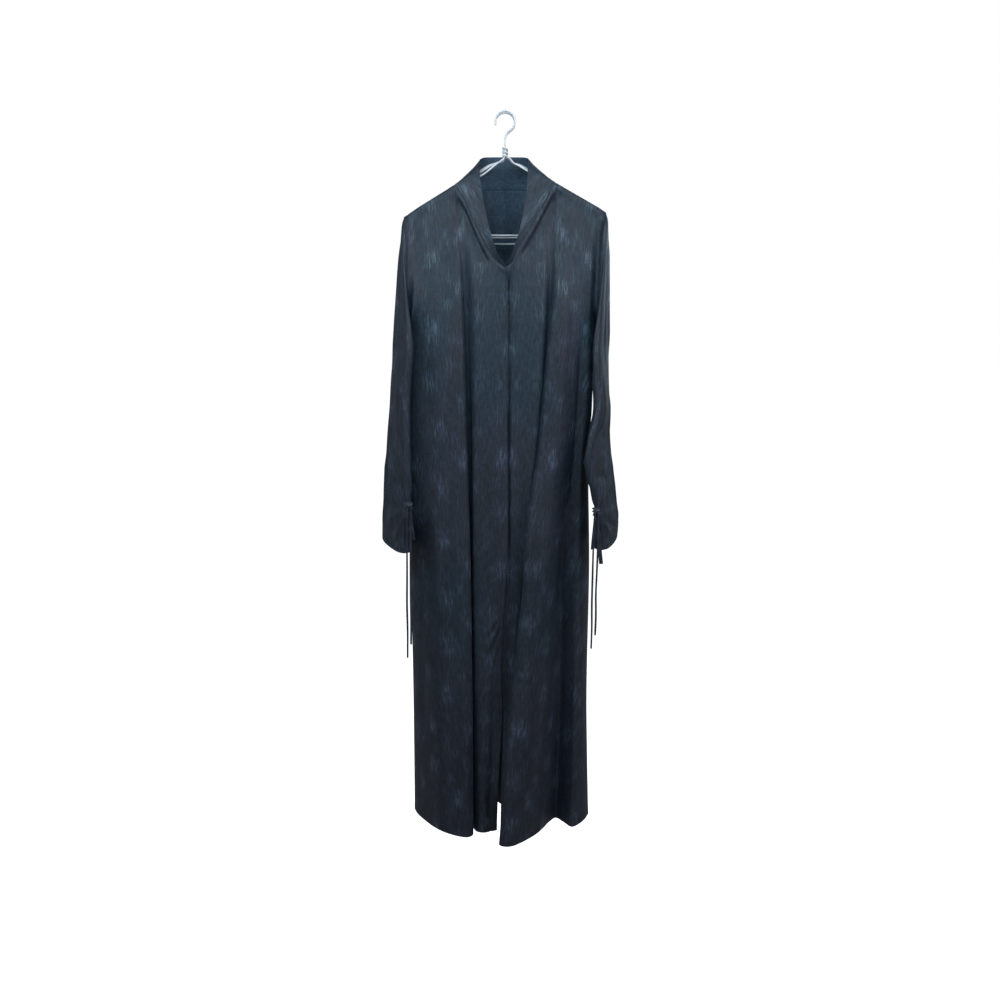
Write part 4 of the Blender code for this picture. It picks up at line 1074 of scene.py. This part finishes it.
        outer, where = quads(index), quads(grain)
        faces = [(outer, where), (outer[:, ::-1] + wide * tall, where[:, ::-1])]
        faces += [rim(index[:, 0], grain[:, 0], True), rim(index[:, -1], grain[:, -1], False)]
        if not self.closed:
            faces += [rim(index[0], grain[0], False), rim(index[-1], grain[-1], True)]
        corners, places = (np.concatenate(parts) for parts in zip(*faces))
        return plain_mesh(name, verts, corners, places, materials, len(outer))


SHARP = math.radians(60)


def plain_mesh(name, verts, corners, places, materials, first_back=None, capped=False):
    """A smooth mesh object; the second material goes on faces first_back to twice that."""
    mesh = bpy.data.meshes.new(name)
    mesh.from_pydata(verts.tolist(), [], corners.tolist())
    layer = mesh.uv_layers.new(name="Grain")
    layer.data.foreach_set("uv", np.ascontiguousarray(places, dtype=np.float32).ravel())
    for item in materials:
        mesh.materials.append(item)
    if first_back:
        sides = np.zeros(len(corners), dtype=np.int32)
        sides[first_back:2 * first_back] = 1
        mesh.polygons.foreach_set("material_index", sides)
    edit = bmesh.new()
    edit.from_mesh(mesh)
    if capped:
        bmesh.ops.holes_fill(edit, edges=[e for e in edit.edges if e.is_boundary], sides=0)
    bmesh.ops.recalc_face_normals(edit, faces=edit.faces[:])
    edit.to_mesh(mesh)
    edit.free()
    mesh.shade_smooth()
    mesh.set_sharp_from_angle(angle=SHARP)
    return add_object(name, mesh)


# ---------------------------------------------------------------- materials

def feed(tree, node, values):
    """Link the sockets among the values to a node's inputs, and set the others."""
    for key, value in values.items():
        if isinstance(value, bpy.types.NodeSocket):
            tree.links.new(value, node.inputs[key])
        elif isinstance(key, str) and hasattr(node, key):
            setattr(node, key, value)
        else:
            node.inputs[key].default_value = value


def add_node(tree, kind, values=None):
    """Add a node with its settings, input values and links, and give its outputs."""
    node = tree.nodes.new(kind)
    feed(tree, node, values or {})
    return node.outputs


def calc(tree, operation, *values):
    """A maths node on numbers and sockets."""
    return add_node(tree, "ShaderNodeMath", {"operation": operation, **dict(enumerate(values))})[0]


def ramp(tree, value, low, high, start=0.0, end=1.0):
    """Map a value from low..high to start..end with soft ends."""
    return add_node(tree, "ShaderNodeMapRange", {
        "interpolation_type": "SMOOTHSTEP", "Value": value, "From Min": low, "From Max": high,
        "To Min": start, "To Max": end})["Result"]


def streaks(tree, place, across, along, detail=2.0, seed=0.0):
    """Noise drawn out along the grain: across and along are its sizes in metres."""
    spot = add_node(tree, "ShaderNodeVectorMath", {
        "operation": "MULTIPLY", 0: place, 1: (1 / across, 1 / along, 1.0)})[0]
    spot = add_node(tree, "ShaderNodeVectorMath", {
        "operation": "ADD", 0: spot, 1: (seed, seed * 0.7, seed * 1.3)})[0]
    return add_node(tree, "ShaderNodeTexNoise", {
        "noise_dimensions": "3D", "Scale": 1.0, "Detail": detail, "Vector": spot})["Fac"]


def speckle(tree, scale, detail):
    """Noise in the object's own space."""
    place = add_node(tree, "ShaderNodeTexCoord")["Object"]
    return add_node(tree, "ShaderNodeTexNoise",
                    {"Scale": scale, "Detail": detail, "Vector": place})["Fac"]


def blend(tree, factor, *colours):
    """Mix two colours by a factor: hex codes, properties or sockets."""
    one, other = (linear(c) if isinstance(c, str) else c for c in colours)
    return add_node(tree, "ShaderNodeMix", {"data_type": "RGBA", 0: factor, 6: one, 7: other})[2]


def bump(tree, height, distance, strength=1.0, **under):
    """A bump node for a height, over any other normal."""
    return add_node(tree, "ShaderNodeBump", {"Strength": strength, "Distance": distance,
                                             "Height": height, **under})["Normal"]


def brush_patches(tree, grain, pitch, repeat, width, height, shift):
    """Staggered patches of dry brush strokes, 0 to 1: their ends fray into single hairs."""
    x, y = add_node(tree, "ShaderNodeSeparateXYZ", {0: grain})[:2]
    sway = calc(tree, "SUBTRACT", streaks(tree, grain, 0.016, 0.070, 3.0, shift), 0.5)
    fray = calc(tree, "SUBTRACT", streaks(tree, grain, 0.0024, 0.120, 4.0, shift + 5), 0.5)
    u = calc(tree, "ADD", calc(tree, "DIVIDE", x, pitch), shift)
    column = calc(tree, "FLOOR", u)
    # every other column of patches is set half a repeat lower
    v = calc(tree, "ADD", calc(tree, "DIVIDE", y, repeat), calc(tree, "MULTIPLY", column, 0.5))
    cell = add_node(tree, "ShaderNodeCombineXYZ", {0: column, 1: calc(tree, "FLOOR", v)})[0]
    chance = add_node(tree, "ShaderNodeTexWhiteNoise", {"noise_dimensions": "3D", "Vector": cell})
    draw = add_node(tree, "ShaderNodeSeparateColor", {0: chance["Color"]})
    masks = []
    for place, size, half, rough, amount, random in (
            (u, pitch, width / 2, sway, 2.0, draw[0]), (v, repeat, height / 2, fray, 3.4, draw[1])):
        away = calc(tree, "SUBTRACT", calc(tree, "FRACT", place), 0.5)
        away = calc(tree, "MULTIPLY_ADD", calc(tree, "SUBTRACT", random, 0.5), 0.30, away)
        away = calc(tree, "MULTIPLY", calc(tree, "ABSOLUTE", away), size)
        away = calc(tree, "MULTIPLY_ADD", rough, half * amount, away)
        masks.append(ramp(tree, away, half * 1.30, half * 0.30))
    strength = ramp(tree, draw[2], 0.0, 0.9, 0.30, 1.0)
    return calc(tree, "MULTIPLY", calc(tree, "MULTIPLY", *masks), strength)


def crepe_inputs(tree, face):
    """Crepe-back satin jacquard: the face is a soft satin, whose woven strokes lie smoother
    and catch the light; the reverse is the same yarn, matt and a little flatter, its colours
    painted lighter to stand in for the light that reaches the inside of the back neck."""
    sizes, colours = bpy.context.scene.abaya_pattern, bpy.context.scene.abaya_colours
    place = add_node(tree, "ShaderNodeUVMap", {"uv_map": "Grain"})[0]
    wander = calc(tree, "MULTIPLY", calc(tree, "SUBTRACT", streaks(
        tree, place, 0.022, 0.038, 2.0, 12.0), 0.5), 9 * MM)
    aside = add_node(tree, "ShaderNodeCombineXYZ", {0: wander})[0]
    grain = add_node(tree, "ShaderNodeVectorMath", {"operation": "ADD", 0: place, 1: aside})[0]
    main = brush_patches(tree, grain, sizes.patch_width * 2.0, sizes.repeat,
                         sizes.patch_width, sizes.patch_length, 0.3)
    faint = brush_patches(tree, grain, sizes.patch_width * 1.5, sizes.repeat * 0.57,
                          sizes.patch_width * 0.6, sizes.patch_length * 0.9, 7.6)
    hairs = streaks(tree, grain, 0.0030, 0.024, 4.0)
    lit = ramp(tree, hairs, 0.44, 0.62)
    patches = calc(tree, "MULTIPLY_ADD", faint, 0.40, main)
    patches = calc(tree, "MULTIPLY", patches, calc(tree, "MULTIPLY_ADD", lit, 0.80, 0.20))
    strokes = calc(tree, "MULTIPLY_ADD", lit, 0.18, patches)
    # teal at the shoulders, leaning to plum down the cloth: the teal is a painted cool cast of the
    # light from above, broken by a random drift in tone
    along = add_node(tree, "ShaderNodeSeparateXYZ", {0: place})[1]
    drift = calc(tree, "MULTIPLY_ADD", along, -0.30, streaks(tree, grain, 0.110, 0.260, 2.0, 2.0))
    plum = ramp(tree, drift, 0.42, 0.70)
    cloud = streaks(tree, grain, 0.030, 0.110, 3.0, 9.0)
    # crepe yarn lies about 0.3 mm apart, too fine to show, so it is drawn three times as coarse
    thread = streaks(tree, grain, sizes.thread, 0.011, 2.0, 4.0)
    weft = streaks(tree, grain, 0.020, sizes.thread * 1.3, 1.0, 6.0)
    side = "face" if face else "reverse"
    # the reverse takes colours painted lighter, standing in for light inside the back neck
    base, yarn, lights = (
        blend(tree, plum, getattr(colours, f"{part}_teal"), getattr(colours, f"{part}_plum"))
        for part in (side, f"{side}_yarn", "strokes"))
    base = blend(tree, ramp(tree, thread, 0.30, 0.72, 0.0, 0.7), base, yarn)
    cloth = blend(tree, calc(tree, "MULTIPLY", strokes, 1.0 if face else 0.5), base, lights)
    crossing = ramp(tree, calc(tree, "MULTIPLY", thread, weft), 0.10, 0.42, 0.74, 1.10)
    shade = calc(tree, "MULTIPLY", crossing, ramp(tree, cloud, 0.30, 0.70, 0.84, 1.16))
    fine = bump(tree, calc(tree, "ADD", thread, calc(tree, "MULTIPLY", weft, 0.6)), 0.22 * MM, 0.5)
    slub = calc(tree, "MULTIPLY_ADD", patches, 0.5, hairs)
    return {"Base Color": add_node(tree, "ShaderNodeHueSaturation", {
                "Saturation": 1.10, "Value": shade, "Color": cloth})[0],
            "Roughness": ramp(tree, strokes, 0.0, 0.9, *((0.58, 0.42) if face else (0.76, 0.68))),
            "Normal": bump(tree, slub, 0.45 * MM, 0.5, Normal=fine),
            "Specular IOR Level": 0.46 if face else 0.28, "Sheen Weight": 0.12 if face else 0.08,
            "Sheen Roughness": 0.40, "Sheen Tint": linear("#93A8BC")}


def thread_inputs(tree):
    """Twisted polyester thread: fine twist lines and a little more gloss than the cloth."""
    twist = add_node(tree, "ShaderNodeTexWave", {
        "bands_direction": "DIAGONAL", "Scale": 900.0,
        "Vector": add_node(tree, "ShaderNodeTexCoord")["Object"]})["Fac"]
    return {"Base Color": blend(tree, twist, "#161B21", "#262E38"), "Roughness": 0.45,
            "Normal": bump(tree, twist, 0.08 * MM)}


def wire_inputs(tree):
    """Vinyl-dipped wire: pale grey, soft highlights, faint rub marks and dust."""
    cloud = speckle(tree, 60.0, 3.0)
    rubs = speckle(tree, 420.0, 2.0)
    dip = bpy.context.scene.abaya_colours.wire
    tint = blend(tree, ramp(tree, cloud, 0.35, 0.65), dip, "#E2E6EA")
    return {"Base Color": blend(tree, ramp(tree, rubs, 0.62, 0.74, 0.0, 0.45), tint, "#A9AEB4"),
            "Roughness": ramp(tree, cloud, 0.3, 0.7, 0.42, 0.54),
            "Normal": bump(tree, rubs, 0.015 * MM), "Coat Weight": 0.15}


def stud_inputs(tree):
    """Blackened brass press studs: dark plating, worn bright on the rims."""
    wear = speckle(tree, 700.0, 4.0)
    edge = add_node(tree, "ShaderNodeNewGeometry")["Pointiness"]
    worn = calc(tree, "MULTIPLY", ramp(tree, edge, 0.50, 0.56), ramp(tree, wear, 0.40, 0.60))
    return {"Base Color": blend(tree, worn, "#2B2A2C", "#9A8F7A"), "Metallic": 1.0,
            "Roughness": ramp(tree, wear, 0.3, 0.7, 0.26, 0.46),
            "Normal": bump(tree, wear, 0.03 * MM)}


def floor_inputs(tree):
    """Matt studio floor paint with a barely visible roller texture."""
    roller = speckle(tree, 140.0, 3.0)
    return {"Base Color": blend(tree, roller, "#F6F6F5", "#F1F1F0"), "Roughness": 0.85,
            "Normal": bump(tree, roller, 0.2 * MM, 0.4), "Emission Strength": 0.95,
            "Emission Color": (1.0, 1.0, 1.0, 1.0)}


def material(name, inputs, *choice):
    """Find a material again, or make it; inputs gives what its shader is fed with."""
    made = bpy.data.materials.get(name)
    if not made:
        made = bpy.data.materials.new(name)
        made.use_nodes = True
        tree = made.node_tree
        feed(tree, tree.nodes["Principled BSDF"], inputs(tree, *choice))
    return made


def crepe():
    """The cloth's two materials: its face and its reverse, whose colours are painted lighter to
    stand in for light inside the back neck.
    """
    return [material("crepe_satin_face", crepe_inputs, True),
            material("crepe_satin_reverse_painted_lighter", crepe_inputs, False)]


# ---------------------------------------------------------------- ties and stitches

# Half of a flat tie's section, in shares of its width and thickness; the rest mirrors it
TIE_SECTION = ((-0.5, -0.22), (-0.44, -0.5), (-0.15, -0.42), (0.15, -0.42), (0.44, -0.5),
               (0.5, -0.22))
# A bow loop from the side: share of its drop, and how far forward in millimetres
LOOP_SHAPE = ((0.00, -1.5), (0.18, -3.6), (0.50, -4.6), (0.80, -4.2), (0.95, -2.4), (1.00, 0.2),
              (0.95, 2.6), (0.78, 4.0), (0.48, 4.2), (0.18, 3.2), (0.00, 1.5))
# Each turn round the knot, in millimetres and radians
Wind = namedtuple("Wind", "wide deep lean width")
WINDS = rows(
    Wind,
    (9.4, 6.6, 0.0, 8.5),
    (10.2, 7.6, 0.55, 7.0),
    (8.6, 8.0, -0.50, 7.5),
    (6.2, 5.4, 1.2, 8.0),
)
WIND_STEPS = 13
WIND_SWAY = 0.8
LOOP_WIDTH = 8.4 * MM
TIE_THICKNESS = 1.5 * MM
TAIL_THICKNESS = 1.4 * MM
# The ties are cut from the plum, darker end of the cloth, below the painted cool cast of the light
# at the shoulders
TIE_GRAIN = -0.7
TAIL_STEPS = 24


def ribbon(name, path, width, thickness, turn):
    """A flat cloth tie along a path, with rounded edges; turn gives its twist in radians."""
    line = refine(np.array(path), 4)
    way = unit(np.gradient(line, axis=0))
    count = len(line)
    wide = np.tile((1.0, 0.0, 0.0), (count, 1))
    wide = unit(wide - way * (wide * way).sum(axis=1, keepdims=True))
    flat = np.cross(way, wide)
    angles = np.array([turn(share) for share in np.linspace(0.0, 1.0, count)])[:, None]
    wide, flat = (wide * np.cos(angles) + flat * np.sin(angles),
                  flat * np.cos(angles) - wide * np.sin(angles))
    section = TIE_SECTION + tuple((-a, -b) for a, b in TIE_SECTION)
    verts = np.stack([line + wide * (a * width) + flat * (b * thickness) for a, b in section],
                     axis=1)
    index = np.arange(verts.shape[0] * verts.shape[1]).reshape(verts.shape[:2])
    index = np.concatenate([index, index[:, :1]], axis=1)
    u = np.tile(np.linspace(0.0, 2 * width, len(section) + 1), (count, 1))
    v = np.tile(TIE_GRAIN - run_length(line, 0)[:, None], (1, len(section) + 1))
    places = quads(np.stack([u, v], axis=-1))
    return plain_mesh(name, verts.reshape(-1, 3), quads(index), places, crepe()[:1], capped=True)


def tie(name, knot, loops):
    """A bow's knot, wound from turns of the tie round its middle, with its loops."""
    centre = np.array(knot)
    pieces = []
    for number, (wide, deep, lean, width) in enumerate(WINDS, start=1):
        path = []
        for i in range(WIND_STEPS + 2):
            a = 2 * math.pi * i / WIND_STEPS + number
            x, y, z = WIND_SWAY * math.sin(2 * a + number), deep * math.cos(a), wide * math.sin(a)
            path.append(centre + np.array((x * math.cos(lean) - z * math.sin(lean), y,
                                           x * math.sin(lean) + z * math.cos(lean))) * MM)
        pieces.append(ribbon(f"{name}_wind_{number}", path, width * MM, TIE_THICKNESS,
                             lambda share, s=lean: s * 0.5))
    for number, (lean, drop) in enumerate(loops, start=1):
        path = [centre + np.array((lean * share, forward * MM, -drop * share))
                for share, forward in LOOP_SHAPE]
        pieces.append(ribbon(f"{name}_loop_{number}", path, LOOP_WIDTH, TIE_THICKNESS,
                             lambda share, k=number: 0.45 * math.sin(2.6 * math.pi * share + k)))
    with bpy.context.temp_override(active_object=pieces[0], selected_editable_objects=pieces,
                                   object=pieces[0]):
        bpy.ops.object.join()
    pieces[0].name = name
    return pieces[0]


def on_root(obj, slot, *nodes):
    """Let a piece ride on the garment's one body, and hide the nodes it replaces. Its finish, slot,
    is not used.
    """
    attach(obj, "root")
    if nodes:
        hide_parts(*nodes)
    return obj


def stitch_group():
    """Geometry Nodes: a running stitch along each edge chain of a mesh."""
    group = bpy.data.node_groups.new("Running stitch", "GeometryNodeTree")
    group.interface.new_socket("Geometry", in_out="OUTPUT", socket_type="NodeSocketGeometry")
    for name, kind in (("Geometry", "Geometry"), ("Stitch", "Float"), ("Pitch", "Float"),
                       ("Thread", "Float"), ("Material", "Material")):
        group.interface.new_socket(name, in_out="INPUT", socket_type=f"NodeSocket{kind}")
    given = add_node(group, "NodeGroupInput")
    curve = add_node(group, "GeometryNodeMeshToCurve", {"Mesh": given["Geometry"]})[0]
    even = add_node(group, "GeometryNodeResampleCurve",
                    {"mode": "LENGTH", "Curve": curve, "Length": given["Pitch"]})[0]
    way = add_node(group, "GeometryNodeInputTangent")[0]
    turn = add_node(group, "FunctionNodeAlignRotationToVector", {"axis": "Z", "Vector": way})[0]
    size = add_node(group, "ShaderNodeCombineXYZ",
                    {0: given["Thread"], 1: given["Thread"], 2: given["Stitch"]})[0]
    bead = add_node(group, "GeometryNodeMeshUVSphere",
                    {"Segments": 6, "Rings": 4, "Radius": 0.5})[0]
    spread = add_node(group, "GeometryNodeInstanceOnPoints",
                      {"Points": even, "Instance": bead, "Rotation": turn, "Scale": size})[0]
    real = add_node(group, "GeometryNodeRealizeInstances", {"Geometry": spread})[0]
    dyed = add_node(group, "GeometryNodeSetMaterial",
                    {"Geometry": real, "Material": given["Material"]})[0]
    add_node(group, "NodeGroupOutput", {0: dyed})
    return group


def stitched(name, lines):
    """Run stitches along lines of points, and keep the result as a plain mesh."""
    trim = bpy.context.scene.abaya_trim
    verts, edges = [], []
    for line in lines:
        first = len(verts)
        verts += [tuple(p) for p in line]
        edges += [(i, i + 1) for i in range(first, len(verts) - 1)]
    mesh = bpy.data.meshes.new(name)
    mesh.from_pydata(verts, edges, [])
    obj = add_object(name, mesh)
    run = obj.modifiers.new("Running stitch", "NODES")
    run.node_group = bpy.data.node_groups.get("Running stitch") or stitch_group()
    values = {"Stitch": trim.stitch_length, "Pitch": trim.stitch_length + trim.stitch_gap,
              "Thread": trim.thread, "Material": material("polyester_thread", thread_inputs)}
    for item in run.node_group.interface.items_tree:
        if item.in_out == "INPUT" and item.name in values:
            run[item.identifier] = values[item.name]
    graph = bpy.context.evaluated_depsgraph_get()
    obj.data = bpy.data.meshes.new_from_object(obj.evaluated_get(graph))
    obj.modifiers.clear()
    obj.data.shade_smooth()
    return obj


# ---------------------------------------------------------------- operators

# The studio: the lens in millimetres, where the camera is, and each light's place, target,
# size, share of the key light's power and tint
LENS = 40.5
CAMERA_X = -0.0105
CAMERA_Z = -0.384
COOL = (0.70, 0.90, 1.0)
EVEN = (0.92, 0.90, 1.0)
Light = namedtuple("Light", "name place target size share tint")
LIGHTS = rows(
    Light,
    ("Key", (-0.45, -1.40, 0.50), (0.0, 0.0, -0.30), (2.6, 0.7), 1.0, COOL),
    ("Right side", (1.30, -0.95, 0.45), (0.0, 0.0, -0.65), (1.0, 0.9), 0.88, EVEN),
    ("Left side", (-1.30, -0.95, 0.55), (0.0, 0.0, -0.40), (1.0, 0.8), 0.50, EVEN),
    ("Back", (0.50, 1.90, 0.05), (0.0, 0.0, -0.60), (2.0, 1.2), 1.1, COOL),
)
# How strongly the surround lights the cloth, where the camera sees it at 1
SURROUND = 0.125
FLOOR_Z = -1.80
FLOOR_HALF = 14.0


class ABAYA_OT_studio(bpy.types.Operator):
    """Add the camera, the soft lights and the pale floor"""
    bl_idname = "abaya.studio"
    bl_label = "Studio"

    def execute(self, context):
        settings = context.scene.abaya_studio
        data = bpy.data.cameras.new("Camera")
        data.lens = LENS
        camera = add_object("Camera", data, (CAMERA_X, -settings.camera_distance, CAMERA_Z))
        camera.rotation_euler = (math.pi / 2 - settings.camera_pitch, 0.0, 0.0)
        context.scene.camera = camera

        for light in LIGHTS:
            lamp = bpy.data.lights.new(light.name, "AREA")
            lamp.shape = "RECTANGLE"
            lamp.size, lamp.size_y = light.size
            lamp.energy = settings.key_power * light.share
            lamp.color = light.tint
            aim = Vector(light.target) - Vector(light.place)
            obj = add_object(light.name, lamp, light.place)
            obj.rotation_euler = aim.to_track_quat("-Z", "Y").to_euler()

        world = bpy.data.worlds.new("Studio")
        world.use_nodes = True
        tree = world.node_tree
        seen = add_node(tree, "ShaderNodeLightPath")["Is Camera Ray"]
        feed(tree, tree.nodes["Background"], {
            "Strength": calc(tree, "MULTIPLY_ADD", seen, 1.0 - SURROUND, SURROUND),
            "Color": (1.0, 1.0, 1.0, 1.0)})
        context.scene.world = world
        context.scene.view_settings.view_transform = "Standard"

        edit = bmesh.new()
        bmesh.ops.create_grid(edit, x_segments=8, y_segments=8, size=FLOOR_HALF)
        mesh = bpy.data.meshes.new("studio_floor")
        edit.to_mesh(mesh)
        edit.free()
        mesh.materials.append(material("studio_floor_paint", floor_inputs))
        floor = add_object("studio_floor", mesh, (0.0, 0.0, FLOOR_Z))
        floor.visible_diffuse = False
        floor.visible_glossy = False
        return {"FINISHED"}


class ABAYA_OT_ties(bpy.types.Operator):
    """Tie the wrists: two bows with their hanging free ends"""
    bl_idname = "abaya.ties"
    bl_label = "Ties"

    def execute(self, context):
        trim = context.scene.abaya_trim
        for number, (node, route) in enumerate(TAILS.items()):
            points = [Vector(p) for p in route]
            last = len(points) - 1
            path = [tuple(spline(range(last + 1), points, i * last / TAIL_STEPS))
                    for i in range(TAIL_STEPS + 1)]
            end = ribbon(f"{node}_cloth", path, trim.tie_width, TAIL_THICKNESS,
                         lambda share, k=number: 0.7 * math.sin(5.0 * share + 1.7 * k))
            on_root(end, "jacquard_crepe", node)
            length = float(run_length(np.array(path), 0)[-1])
            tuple(path[0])
        for side, knot, loops in (("right", KNOT_RIGHT, LOOPS_RIGHT),
                                  ("left", KNOT_LEFT, LOOPS_LEFT)):
            on_root(tie(f"tie_{side}_bow", knot, loops), "jacquard_crepe", f"tie_{side}")
        return {"FINISHED"}


# How a piece of cloth is made: its kind, the sign that turns its grid's normals outward, its
# creases and the seed of its ripple; how far its neck edge stands up in the seam, its turned
# hem, its sewn and its faced end columns, and the edges stitched, with the distance from each,
# in millimetres; and its flat width, length and area in metres
Piece = namedtuple("Piece", "kind sign creases seed neck hem sewn faced stitched "
                            "width length area")
HEM_STITCH = ("bottom", 10.5)
FACING_STITCH = (0, 10.5)
PIECES = {
    "front_right": Piece("body", 1.0, FRONT_RIGHT_CREASES, 11, -0.9, 12, (-1,), (0,),
                         (HEM_STITCH, FACING_STITCH), 0.400, 1.450, 0.430),
    "front_left": Piece("body", -1.0, FRONT_LEFT_CREASES, 12, -0.9, 12, (-1,), (0,),
                        (HEM_STITCH, FACING_STITCH), 0.500, 1.460, 0.465),
    "back": Piece("body", 1.0, BACK_CREASES, 13, 2.2, 12, (0, -1), (), (HEM_STITCH,),
                  0.665, 1.450, 0.700),
    "sleeve_right": Piece("tube", -1.0, SLEEVE_RIGHT_CREASES, 14, 0.0, 12, (), (), (HEM_STITCH,),
                          0.520, 0.735, 0.172),
    "sleeve_left": Piece("tube", 1.0, SLEEVE_LEFT_CREASES, 15, 0.0, 12, (), (), (HEM_STITCH,),
                         0.535, 0.745, 0.170),
    "collar": Piece("band", -1.0, COLLAR_CREASES, 16, 0.6, 0, (), (),
                    (("top", 3.0), ("bottom", 3.5)), 0.715, 0.085, 0.030),
}


class ABAYA_OT_cloth(bpy.types.Operator):
    """Make the fronts, the back, the sleeves and the collar, with their stitching"""
    bl_idname = "abaya.cloth"
    bl_label = "Cloth"

    def execute(self, context):
        fronts = [front_grid(-1.0), front_grid(1.0)]
        back = back_grid()
        grids = {"front_right": fronts[0][0], "front_left": fronts[1][0], "back": back[0],
                 "sleeve_right": sleeve_grid(-1.0), "sleeve_left": sleeve_grid(1.0),
                 "collar": collar_grid(fronts, back)}
        for name, piece in PIECES.items():
            panel = Cloth(piece.kind, grids[name], piece.sign, piece.creases, piece.seed)
            panel.seams(piece.neck * MM, piece.sewn)
            if piece.hem:
                panel.turn_up(piece.hem * MM, piece.faced)
            obj = on_root(panel.mesh(f"{name}_cloth", crepe()), "jacquard_crepe", name)
            lines = [panel.line(edge, away * MM) for edge, away in piece.stitched]
            seam = on_root(stitched(f"{name}_stitching", lines), "jacquard_crepe")
        return {"FINISHED"}


class ABAYA_OT_hangers(bpy.types.Operator):
    """Make the three wire hangers"""
    bl_idname = "abaya.hangers"
    bl_label = "Hangers"

    def execute(self, context):
        for hanger in HANGERS:
            line = refine(hanger_points(hanger), 3)
            curve = bpy.data.curves.new(f"{hanger.name}_wire", "CURVE")
            curve.dimensions = "3D"
            curve.bevel_depth = WIRE_R
            curve.bevel_resolution = 2
            curve.use_fill_caps = True
            wire = curve.splines.new("POLY")
            wire.points.add(len(line) - 1)
            for point, place in zip(wire.points, line):
                point.co = (*place, 1.0)
            curve.materials.append(material("dipped_wire", wire_inputs))
            on_root(add_object(curve.name, curve), "coated_wire", hanger.name)
        return {"FINISHED"}


class ABAYA_OT_studs(bpy.types.Operator):
    """Finish the press studs between the lapped fronts"""
    bl_idname = "abaya.studs"
    bl_label = "Press studs"

    def execute(self, context):
        for number in range(1, 6):
            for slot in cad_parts[f"snap_{number}"].material_slots:
                slot.material = material("blackened_brass", stud_inputs)
        return {"FINISHED"}


class ABAYA_PT_panel(bpy.types.Panel):
    """Settings and making of the abaya"""
    bl_label = "Abaya"
    bl_space_type = "VIEW_3D"
    bl_region_type = "UI"
    bl_category = "Abaya"

    def draw(self, context):
        for name in GROUPS:
            group = getattr(context.scene, name)
            box = self.layout.box()
            box.label(text=name.removeprefix("abaya_").title())
            for key in group.bl_rna.properties.keys():
                if key not in {"rna_type", "name"}:
                    box.prop(group, key)
        column = self.layout.column(align=True)
        for operator in OPERATORS:
            column.operator(operator.bl_idname)


GROUPS = {"abaya_cloth": ABAYA_PG_cloth, "abaya_pattern": ABAYA_PG_pattern,
          "abaya_colours": ABAYA_PG_colours, "abaya_trim": ABAYA_PG_trim,
          "abaya_studio": ABAYA_PG_studio}
OPERATORS = (ABAYA_OT_studio, ABAYA_OT_ties, ABAYA_OT_cloth, ABAYA_OT_hangers, ABAYA_OT_studs)


def register():
    for cls in (*GROUPS.values(), *OPERATORS, ABAYA_PT_panel):
        bpy.utils.register_class(cls)
    for name, group in GROUPS.items():
        setattr(bpy.types.Scene, name, PointerProperty(type=group))


def unregister():
    for name in GROUPS:
        delattr(bpy.types.Scene, name)
    for cls in (ABAYA_PT_panel, *reversed(OPERATORS), *GROUPS.values()):
        bpy.utils.unregister_class(cls)


def main():
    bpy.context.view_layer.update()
    register()
    bpy.ops.abaya.studio()
    bpy.ops.abaya.ties()
    bpy.ops.abaya.cloth()
    bpy.ops.abaya.hangers()
    bpy.ops.abaya.studs()
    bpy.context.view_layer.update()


if __name__ == "__main__":
    main()
